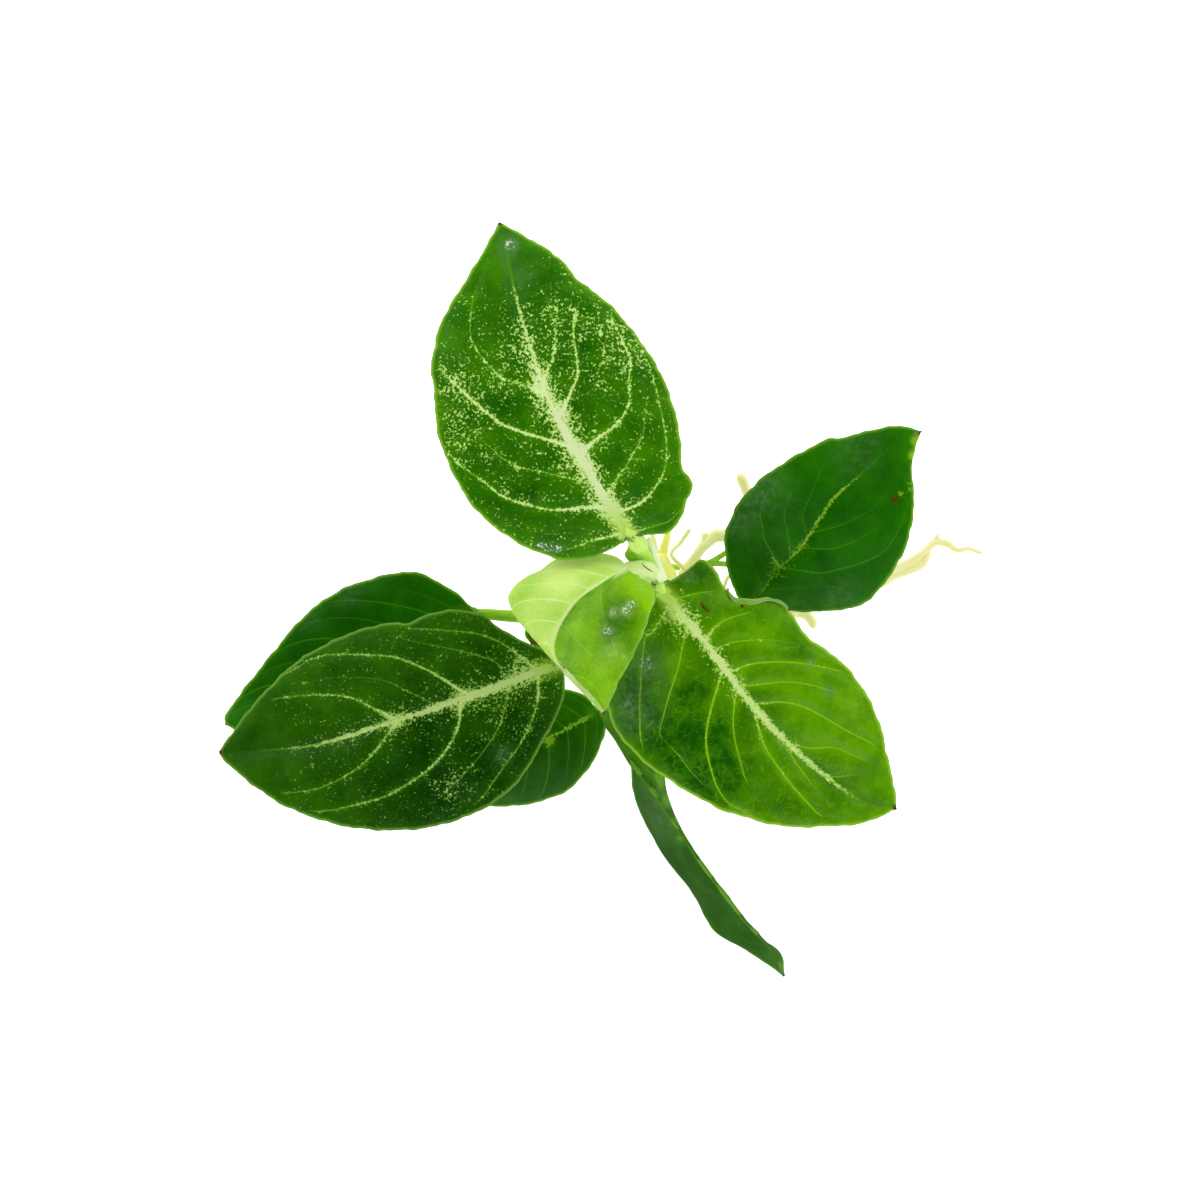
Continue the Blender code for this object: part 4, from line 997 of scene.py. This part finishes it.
smallLeaf = {
    **usualLeaf, "node": "small_leaf", "slot": "dark_leaf",
    "look": {**darkLook, "shift": 240.0, "burn": 1.6}, "seed": 9.0, "crown": 0.3,
    "midrib": [(1, 0.5, 40), (-3.5, -2, 42.5), (-8.5, -5.5, 43.3), (-12.5, -8.5, 43), (-15.5, -10, 42.7)],
    "left": [(0, -3.5, 41.5), (-3.5, -7, 42.3), (-8, -10, 42.6), (-12.5, -11.3, 42.7)],
    "right": [(-2, 1.5, 41.5), (-8, 0, 42.5), (-13.5, -2.5, 42.7), (-16.5, -6, 42.7), (-17, -8, 42.7)],
    "veinRule": (6, 0.25, 0.3), "palePart": [(0, 0.2), (0.5, -0.2), (1, -0.6)], "halfWidth": 6,
    "speckle": 0.1, "swell": 0.1, "trough": 0.15, "ripple": 0.1, "rippleSize": 12, "keel": 0.4,
    "keelWidth": 0.6, "cell": 0.4,
}
sheathLook = {
    **youngLook, "deep": srgb(150, 205, 80), "fresh": srgb(215, 238, 165), "shift": 270.0, "burn": 1.2,
    "brown": srgb(120, 85, 45), "glow": 0.12,
}
leafSheath = {
    **usualLeaf, "piece": "crown_sheath", "node": "leaf_sheath", "slot": "sheath", "look": sheathLook,
    "seed": 10.0, "crown": 0.6,
    "midrib": [(12.2, 6, 24), (12.4, 6.9, 32), (11.8, 8.6, 42), (9.8, 9.9, 48.5), (8.2, 10.2, 51.4),
        (6.2, 10.6, 52.8)],
    "left": [(9.9, 7.2, 33), (8, 9, 43), (6.6, 9.6, 49)],
    "right": [(14.3, 5, 34), (14.4, 5.8, 42), (13.5, 7.6, 46), (12.6, 9.2, 48.3), (11, 10.6, 50.2),
        (8.6, 10.6, 52)],
    "veinRule": (6, 0.3, 0.3), "palePart": [(0, -0.2), (1, -0.5)], "halfWidth": 4, "speckle": 0.1,
    "swell": 0.1, "sunk": 0.05, "trough": 0.0, "ripple": 0.1, "rippleSize": 8, "keel": 0.1,
    "keelWidth": 0.6, "cell": 0.3, "lower": 0.1,
}
pouchLook = {
    **sheathLook, "deep": srgb(120, 196, 24), "fresh": srgb(204, 236, 104), "cool": srgb(166, 220, 60),
    "brown": srgb(112, 104, 66), "edge": 0.2, "base": srgb(120, 190, 30), "shift": 281.0,
}
crownPouch = {
    **usualLeaf, "piece": "crown_pouch", "node": "leaf_sheath", "slot": "sheath", "look": pouchLook,
    "seed": 11.0, "crown": 0.9,
    "midrib": [(10.5, 6.5, 47), (9.4, 8.5, 50.5), (8.7, 10.3, 53), (8.1, 11.6, 54.4), (7.3, 12.7, 55)],
    "left": [(7.5, 8, 49.5), (6.1, 8.9, 50.8), (5.4, 10.1, 52), (5.9, 11.3, 53.2), (6.3, 12.2, 54.3)],
    "right": [(12.3, 7.4, 48.5), (12.2, 9, 50), (11.4, 10.8, 52), (10.2, 12, 53.8), (8.8, 12.3, 54.8)],
    "veinRule": (4, 0.3, 0.1), "palePart": [(0, -0.4), (1, -0.4)], "halfWidth": 4, "swell": 0.25,
    "sunk": 0.0, "trough": 0.0, "ripple": 0.15, "rippleSize": 4, "keel": 0.1, "keelWidth": 0.6,
    "cell": 0.16, "lower": 0.1, "wobble": 0.1,
    "patches": [("brown", 5.8, 9.3, 0.3, 0.9), ("brown", 5.4, 10.1, 0.3, 0.9),
        ("brown", 5.6, 10.9, 0.3, 0.9), ("brown", 6, 11.7, 0.3, 0.9), ("tone", 6.8, 12, 0.9, 1.2),
        ("tone", 9, 11.6, 1.6, 0.5), ("tone", 8, 9.6, 1.6, -0.4), ("tone", 11.3, 9, 1.2, -0.5)],
}
wingLook = {
    **sheathLook, "deep": srgb(196, 226, 150), "fresh": srgb(236, 246, 206), "cool": srgb(212, 234, 176),
    "margin": srgb(212, 234, 184), "base": srgb(236, 246, 206), "brown": srgb(214, 236, 190), "edge": 0.4,
    "glow": 0.15, "shift": 285.0,
}
crownWing = {
    **usualLeaf, "piece": "crown_wing", "node": "leaf_sheath", "slot": "sheath", "look": wingLook,
    "seed": 13.0, "crown": 0.2,
    "midrib": [(13.4, 4, 46.4), (13.5, 5.4, 47.4), (13, 7.7, 48.8), (12.4, 9.5, 49.8), (11.9, 11, 50.5),
        (11.4, 12.2, 50.9), (11, 13.4, 51.2), (10.9, 14.3, 51.3)],
    "left": [(12.5, 4.9, 47.4), (12.2, 6.2, 48.4), (12, 7.8, 49.4), (11.6, 9.5, 50.2), (11.2, 11, 50.9),
        (10.6, 12.2, 51.3), (10.3, 13.4, 51.4)],
    "right": [(15, 4.6, 46.4), (14.7, 6.1, 47.2), (14, 7.8, 48.2), (13.4, 9.5, 49.2), (12.8, 11, 50),
        (12.2, 12.2, 50.7), (11.7, 13.4, 51.2)],
    "veinRule": (3, 0.2, 0.1), "palePart": [(0, -0.4), (1, -0.4)], "halfWidth": 2, "swell": 0.05,
    "sunk": 0.0, "trough": 0.15, "ripple": 0.08, "rippleSize": 5, "keel": 0.1, "keelWidth": 0.6,
    "cell": 0.14, "lower": 0.0, "wobble": 0.1,
    "patches": [("tone", 13.6, 5, 1.4, 0.8), ("tone", 11, 13, 2, 0.7), ("tone", 12.4, 9.5, 1.6, 0.4)],
}
curlLook = {
    **brightLook, "deep": srgb(112, 160, 84), "fresh": srgb(176, 208, 142), "cool": srgb(140, 184, 108),
    "coolShare": 0.3, "margin": srgb(120, 168, 90), "base": srgb(140, 184, 90), "edge": 0.3, "rimGlow": 0.0,
    "veinGlow": 0.0, "netting": 0.0, "cluster": 0.1, "dash": 0.1, "fleck": 0.1, "ribHalo": 0.0,
    "shift": 290.0,
}
marginCurl = {
    **usualLeaf, "piece": "right_leaf_curl", "node": "right_leaf", "slot": "bright_leaf", "look": curlLook,
    "seed": 14.0, "crown": 0.2,
    "midrib": [(28.6, 2.6, 42.9), (29.4, 1, 43.1), (30.6, -0.3, 43.4), (32, -1, 43.6), (34.5, -0.7, 43.6),
        (37.5, 0.1, 43.5), (40.5, -0.4, 43.2), (43, -2.4, 42.7)],
    "left": [(29.8, 1.2, 43), (31, 0.1, 43.2), (32.2, -0.5, 43.4), (34.5, -0.25, 43.4), (37.5, 0.4, 43.3),
        (40.7, -0.1, 43)],
    "right": [(29, 0.8, 43.2), (30.2, -0.7, 43.5), (31.8, -1.5, 43.7), (34.5, -1.15, 43.7),
        (37.5, -0.35, 43.6), (40.2, -0.8, 43.3)],
    "veinRule": (3, 0.2, 0.05), "palePart": [(0, -0.6), (1, -0.6)], "halfWidth": 1.5, "swell": 0.03,
    "sunk": 0.0, "trough": 0.0, "ripple": 0.05, "rippleSize": 5, "keel": 0.05, "keelWidth": 0.6,
    "cell": 0.2, "lower": 0.0, "wobble": 0.05,
}
leaves = (upperLeaf, rightLeaf, leftLeaf, backLeftLeaf, lowerLeaf, farRightLeaf, foldedLeaf, youngLeaf,
          smallLeaf, leafSheath, crownPouch, crownWing, marginCurl)
for leaf in leaves:
    name, look = leaf.get("piece", leaf["node"] + "_blade"), leaf["look"]
    addBlade(name, leaf, leafFinish(name + "_face", look), underFinish(name + "_underside", look))


# stalks

stalkLook = {
    "deep": srgb(104, 164, 10), "fresh": srgb(166, 212, 56), "foot": srgb(205, 226, 140),
    "dot": srgb(210, 232, 130), "dots": 0.35, "footShare": 0.3, "rough": 0.36, "glow": 0.0, "shift": 3.0,
}
stalks = {
    "upper_leaf_stalk": {
        "places": [(13.6, 3, 13), (12.7, 7.4, 15.5), (11.8, 8.7, 21), (10.7, 9.4, 30), (9.3, 11.2, 46),
            (8.6, 12.4, 53.4), (7.5, 14.3, 56.5), (4, 19, 57), (0, 24.5, 58.6)],
        "radii": (1.9, 1.75, 1.8, 1.9, 2.1, 2.0, 2.1, 0.9, 0.4), "look": "upper"},
    "right_leaf_stalk": {
        "places": [(14, 1, 12.5), (16, 1.3, 18), (15.5, 1.5, 26), (14, 2.5, 38), (13, 3.4, 43.2),
            (13, 3.5, 45.3), (15.6, 0.3, 44.2), (20, -5.2, 43.8)],
        "radii": (2.0, 1.8, 1.7, 1.7, 1.6, 1.55, 0.8, 0.4), "look": "upper"},
    "left_leaf_stalk": {
        "places": [(13, 2, 13.5), (8.5, -0.5, 17), (5.5, -3, 22), (-0.5, -9, 31), (-6, -13, 36),
            (-10.5, -15, 37.4), (-16, -17, 37.3), (-23, -19.5, 36.7)],
        "radii": (2.0, 1.75, 1.6, 1.5, 1.4, 1.2, 0.8, 0.5)},
    "back_left_leaf_stalk": {
        "places": [(15, 0, 11.5), (9, -2.2, 12), (4.5, -3.2, 13), (-9, -4.1, 16), (-19.5, -3.7, 17.2),
            (-29, -3.3, 17.4), (-37, -6, 17.6), (-43, -8.5, 16.4)],
        "radii": (2.0, 1.8, 1.6, 1.5, 1.4, 1.2, 0.8, 0.5)},
    "lower_leaf_stalk": {
        "places": [(17.5, -3, 8), (9, -9.5, 9.5), (3, -20, 11), (-1.5, -26.5, 11.8), (-6, -28.5, 13.6),
            (-12, -31.8, 14.2)],
        "radii": (1.9, 1.7, 1.5, 1.4, 1.1, 0.5)},
    "far_right_leaf_stalk": {
        "places": [(21, -5, 5.6), (28.5, -5, 13), (33, -2.5, 22), (35.5, 0.3, 28), (37.7, 3.2, 30.6),
            (41, 7.5, 32.6)],
        "radii": (1.9, 1.7, 1.55, 1.4, 1.0, 0.5)},
    "folded_leaf_stalk": {
        "places": [(19.5, -4.2, 6.6), (12.5, -14, 8.5), (5.2, -21.2, 14), (1.7, -26.2, 17.5),
            (5, -31.4, 20.8), (8.7, -37, 22.8), (12.8, -43.6, 23.2)],
        "radii": (1.9, 1.6, 1.5, 1.25, 1.55, 2.0, 1.1), "look": "shaded"},
    "young_leaf_stalk": {
        "places": [(12, 3.5, 15), (11.3, 3.8, 20), (10.8, 3.5, 30), (10.6, 5, 41), (11.6, 6, 46.5),
            (10.4, 7, 50.2), (8.2, 7.2, 51.3), (6, 7, 51.8), (3, 5.6, 53.2)],
        "radii": (1.9, 1.85, 1.8, 1.7, 1.6, 1.55, 1.5, 1.55, 1.65, 1.85, 2.05, 1.5, 0.4), "look": "young"},
    "small_leaf_stalk": {
        "places": [(12, 2.3, 14), (7.6, 3.3, 15.3), (6, 3, 24), (2.5, 1, 34.5), (0.5, 0.2, 38),
            (-2.5, -1.4, 40.4)],
        "radii": (1.4, 1.25, 1.1, 1.05, 0.9, 0.4)},
}
# the upper and young stalks' glow is painted light, an emission for light coming through them
stalkLooks = {
    "plain": stalkLook,
    "upper": {
        **stalkLook, "deep": srgb(184, 228, 84), "fresh": srgb(222, 243, 146), "glow": 0.12, "shift": 6.0},
    "young": {
        **stalkLook, "deep": srgb(190, 226, 92), "fresh": srgb(225, 241, 184), "dots": 0.0, "glow": 0.12,
        "shift": 8.0},
    "shaded": {
        **stalkLook, "deep": srgb(48, 98, 20), "fresh": srgb(92, 152, 18), "dots": 0.1, "shift": 11.0},
}
stalkSkins = {kind: stalkFinish(kind + "_stalk_skin", look) for kind, look in stalkLooks.items()}
stalkRule = {"sides": 24, "cell": 0.4, "flat": 0.92, "seamLift": 0.03}
for node, shape in stalks.items():
    shape.update(stalkRule)
    tubePiece(node + "_skin", shape, node, "stalk", stalkSkins[shape.get("look", "plain")])
youngStalk = bpy.data.objects["young_leaf_stalk_skin"]
stalkTop = BVHTree.FromObject(youngStalk, bpy.context.evaluated_depsgraph_get())


def onStalk(x, y):
    # the place on top of the young leaf's stalk that lies at x and y
    start = Vector(((x - plantCentre[0]) * mm, (y - plantCentre[1]) * mm, 1.0))
    found = stalkTop.ray_cast(start, Vector((0, 0, -1)))[0]
    return (x, y, found.z / mm + stalkRule["seamLift"])


seam = {
    "places": [onStalk(9.3, 8.4), onStalk(9.9, 7.6), onStalk(10.7, 7), onStalk(11.3, 6.6),
        onStalk(11.8, 6.3)],
    "radii": (0.06, 0.12, 0.12, 0.06), "sides": 10, "cell": 0.1,
}
seamLook = {
    **stalkLook, "deep": srgb(112, 84, 34), "fresh": srgb(140, 108, 50), "foot": srgb(130, 100, 44),
    "dots": 0.0, "shift": 17.0,
}
tubePiece("crown_seam", seam, "young_leaf_stalk", "stalk", stalkFinish("crown_seam_skin", seamLook))
print("stalks:", len(stalks))


# rhizome

rhizomeLook = {
    "dark": srgb(70, 78, 28), "green": srgb(128, 142, 62), "scar": srgb(92, 66, 34), "ring": 3.4,
    "fleck": srgb(196, 190, 130), "flesh": srgb(226, 214, 160), "fleshDark": srgb(196, 176, 112),
}


rhizomeRelief = {"ring": 0.22, "lower": 0.35, "knobs": ((0.16, 3, 1.1), (0.12, 5, -2.3), (0.08, 8, 3.7))}


def rhizomeKnobs(turn, run):
    # raised rings of old leaf scars, and knobs that wind round the stem
    ring = np.abs((run + 0.5 * np.sin(turn + 1)) % rhizomeLook["ring"] - rhizomeLook["ring"] / 2)
    knobs = sum(size * np.sin(around * turn + beat * run) for size, around, beat in rhizomeRelief["knobs"])
    return rhizomeRelief["ring"] * (1 - ease(ring, 0.1, 0.7)) + knobs - rhizomeRelief["lower"]


rhizomeShape = {
    "places": [(11.5, 4, 15.5), (14, 1, 12.5), (17, -2.5, 8.5), (21, -5, 5.5), (25.5, -7.5, 4.4),
        (30.5, -9.5, 4.2), (34.5, -11, 4.2)],
    "radii": (3.0, 3.9, 4.3, 4.5, 4.5, 4.6, 4.5), "sides": 72, "cell": 0.22, "flatEnd": 14, "floor": 0.0,
    "knobs": rhizomeKnobs,
}
tubePiece("rhizome_skin", rhizomeShape, "rhizome", "rhizome", rhizomeFinish("rhizome_skin", rhizomeLook))
print("rhizome done")


# roots

# glow in the root looks is painted light, an emission for light coming through the roots
rootLook = {
    "deep": srgb(232, 224, 144), "fresh": srgb(248, 244, 196), "brown": srgb(220, 192, 110), "stain": 0.4,
    "tip": srgb(244, 232, 180), "tipTint": 0.4, "glow": 0.16, "shift": 4.0,
}
greenRootLook = {
    **rootLook, "deep": srgb(120, 184, 30), "fresh": srgb(190, 226, 96), "brown": srgb(80, 130, 30),
    "tip": srgb(210, 230, 140), "glow": 0.05, "shift": 9.0,
}
yellowRootLook = {
    **rootLook, "deep": srgb(226, 226, 84), "fresh": srgb(244, 242, 160), "shift": 14.0,
}


def rootKnobs(size, beat):
    # soft knobs of one root, about two beats apart, in millimetres
    def knobs(turn, run):
        around = np.sin(2 * turn + run / beat)
        return size * 0.5 * (around + np.sin(run * 2.1 / beat + 1.3) * np.cos(turn))
    return knobs


roots = {
    "upper_root": {
        "radii": (1.9, 1.9, 1.8), "look": "yellow",
        "places": [(15, 2, 9), (15.8, 4.6, 7.5), (14.6, 7.8, 6.2), (13.6, 10.8, 5.5)]},
    "upper_root_left_fork": {
        "radii": (0.6, 0.5), "look": "cream",
        "places": [(13.1, 9.6, 5.6), (12.6, 11.9, 5.3), (12, 14.3, 5), (9, 23, 3.5), (7.5, 31, 1.2)]},
    "upper_root_right_fork": {
        "radii": (1.1, 0.65, 0.5, 0.45, 0.4), "look": "yellow",
        "places": [(14.2, 10, 5.7), (15.3, 14.8, 5), (15.9, 20.5, 3.5), (13.5, 28.5, 2), (13, 36.5, 0.6)]},
    "middle_root": {
        "radii": (1.3, 1.2, 1.2, 1.1, 1.2, 1.4, 1.3, 1.1), "look": "cream",
        "places": [(20, -4, 6), (18.7, 2, 6), (18.9, 5.8, 5.7), (21, 8.7, 5.3), (23.5, 12.1, 5),
            (26, 14.4, 4.5), (28.9, 15, 4), (34, 18, 3.5)]},
    "middle_root_stub": {
        "radii": (0.95, 0.7), "look": "cream",
        "places": [(23.6, 12.3, 5), (23.9, 14.2, 5), (23.8, 15.5, 5)]},
    "middle_root_tip": {
        "radii": (0.9, 1.3, 1.2), "look": "cream",
        "places": [(33.5, 17.7, 3.5), (35, 21, 4), (33.5, 24.6, 4.5), (31.6, 28.9, 5)]},
    "bent_root": {
        "radii": (0.5, 0.5, 0.48, 0.45), "look": "cream",
        "places": [(19.6, 6.4, 5.6), (18.8, 7.5, 7), (16.2, 10.4, 8), (18.4, 13.2, 7.5), (20.6, 16.2, 7)]},
    "long_root": {
        "radii": (1.6, 1.7, 1.8, 1.8, 1.1, 0.95, 1.1, 1.2, 1.0, 0.85, 0.7, 0.35), "look": "cream",
        "places": [(31, -9.5, 4.5), (38.5, -5, 4), (49, 0, 3.5), (59, 2.8, 3), (65.5, 6.3, 2.5),
            (69.2, 7.9, 2.3), (72, 9.4, 2.1), (76.3, 13, 1.8), (78.8, 12.9, 1.4), (81.3, 11.4, 1.1),
            (83.6, 11.7, 0.9), (87.2, 10.8, 0.6)]},
    "long_root_fork": {
        "radii": (0.9, 1.0, 1.05, 0.95, 0.9, 0.7), "look": "cream",
        "places": [(61, 2.2, 2.8), (66.5, 5.1, 2.3), (69.8, 6.6, 2.2), (72.6, 7.6, 2.1), (74.2, 9.2, 2),
            (75.2, 11.4, 1.9)]},
    "long_root_spur": {
        "radii": (0.8, 0.45), "look": "cream",
        "places": [(76.3, 12.9, 1.7), (76.8, 14.2, 1.8), (77, 15.1, 1.8)]},
    "long_root_side": {
        "radii": (1.3, 1.2), "look": "cream",
        "places": [(41, -4, 4), (45.5, -2.7, 3.5), (48, -4.5, 3.2), (49, -6.5, 3)]},
    "green_root": {
        "radii": (0.6, 0.6, 0.65, 0.65), "look": "green",
        "places": [(18, -3, 7), (14.5, 3, 3), (15, 7.5, 2.8), (18.2, 7.4, 3), (21, 8.1, 3.4),
            (24.6, 8.4, 4), (28.7, 10.7, 4.5), (32.5, 12.5, 5)]},
    "green_root_fork": {
        "radii": (0.6, 0.6), "look": "green", "places": [(24.3, 8.3, 4), (28.9, 8.2, 4), (33, 8, 4)]},
    "thin_root": {
        "radii": (0.4, 0.35), "look": "cream",
        "places": [(25.5, -7, 5), (28.5, 3.6, 5.5), (29.8, 5.9, 6), (32, 9.2, 6.5)]},
}
rootSkins = {
    "cream": rootFinish("root_skin", rootLook), "green": rootFinish("green_root_skin", greenRootLook),
    "yellow": rootFinish("yellow_root_skin", yellowRootLook),
}
rootRule = {"sides": 20, "cell": 0.25, "point": 1.6}
knobRule = {"size": 0.12, "beat": 1.6}
for node, shape in roots.items():
    knobs = rootKnobs(knobRule["size"] * shape["radii"][0], knobRule["beat"])
    shape.update({**rootRule, "knobs": knobs})
    slot = "green_root" if shape["look"] == "green" else "root"
    tubePiece(node + "_skin", shape, node, slot, rootSkins[shape["look"]])
print("roots:", len(roots))


# floor, light and camera

studio = {"floorSize": 14.0, "floorTone": srgb(250, 250, 250), "floorGlow": 0.85, "floorZ": -0.0002,
          "cameraHeight": 3.0, "lens": 394.67, "sensor": 36, "farEnd": 50,
          "lamps": [((-1.9, 1.5, 1.6), 2.4, 50), ((1.9, 1.3, 1.6), 2.4, 38), ((0.3, -2.3, 1.6), 2.6, 38)]}


def studioFloor():
    sheet = bmesh.new()
    bmesh.ops.create_grid(sheet, x_segments=1, y_segments=1, size=studio["floorSize"] / 2)
    mesh = bpy.data.meshes.new("floor")
    sheet.to_mesh(mesh)
    sheet.free()
    material, tree, shader = newFinish("floor_paper")
    finishShader(tree, shader, studio["floorTone"], 0.9, 0.0)
    shader.inputs["Emission Color"].default_value = (1, 1, 1, 1)
    shader.inputs["Emission Strength"].default_value = studio["floorGlow"]
    mesh.materials.append(material)
    floor = bpy.data.objects.new("floor", mesh)
    bpy.context.scene.collection.objects.link(floor)
    floor.location.z = studio["floorZ"]
    floor.visible_glossy = False


def studioLights():
    for i, (place, size, power) in enumerate(studio["lamps"]):
        data = bpy.data.lights.new("lamp", "AREA")
        data.shape = "DISK"
        data.size = size
        data.energy = power
        lamp = bpy.data.objects.new("lamp_" + str(i), data)
        lamp.location = place
        lamp.visible_glossy = False
        lamp.rotation_euler = (-Vector(place)).to_track_quat("-Z", "Y").to_euler()
        bpy.context.scene.collection.objects.link(lamp)
    world = bpy.data.worlds.new("studio")
    world.use_nodes = True
    tree = world.node_tree
    height = split(tree, tree.nodes.new("ShaderNodeTexCoord").outputs["Generated"])[2]
    tone = slide(height, 0.1, 0.6, 1.0, 0.02) * slide(height, -0.1, 0.03, 0.05, 1.0)
    feed(tree, tree.nodes["Background"].inputs["Color"], tone)
    bpy.context.scene.world = world


def studioCamera():
    data = bpy.data.cameras.new("camera")
    data.lens = studio["lens"]
    data.sensor_width = studio["sensor"]
    data.clip_end = studio["farEnd"]
    camera = bpy.data.objects.new("camera", data)
    camera.location = (*(-plantCentre[:2] * mm), studio["cameraHeight"])
    bpy.context.scene.collection.objects.link(camera)
    bpy.context.scene.camera = camera


studioFloor()
studioLights()
studioCamera()
bpy.context.scene.view_settings.view_transform = "Standard"
print("studio ready")
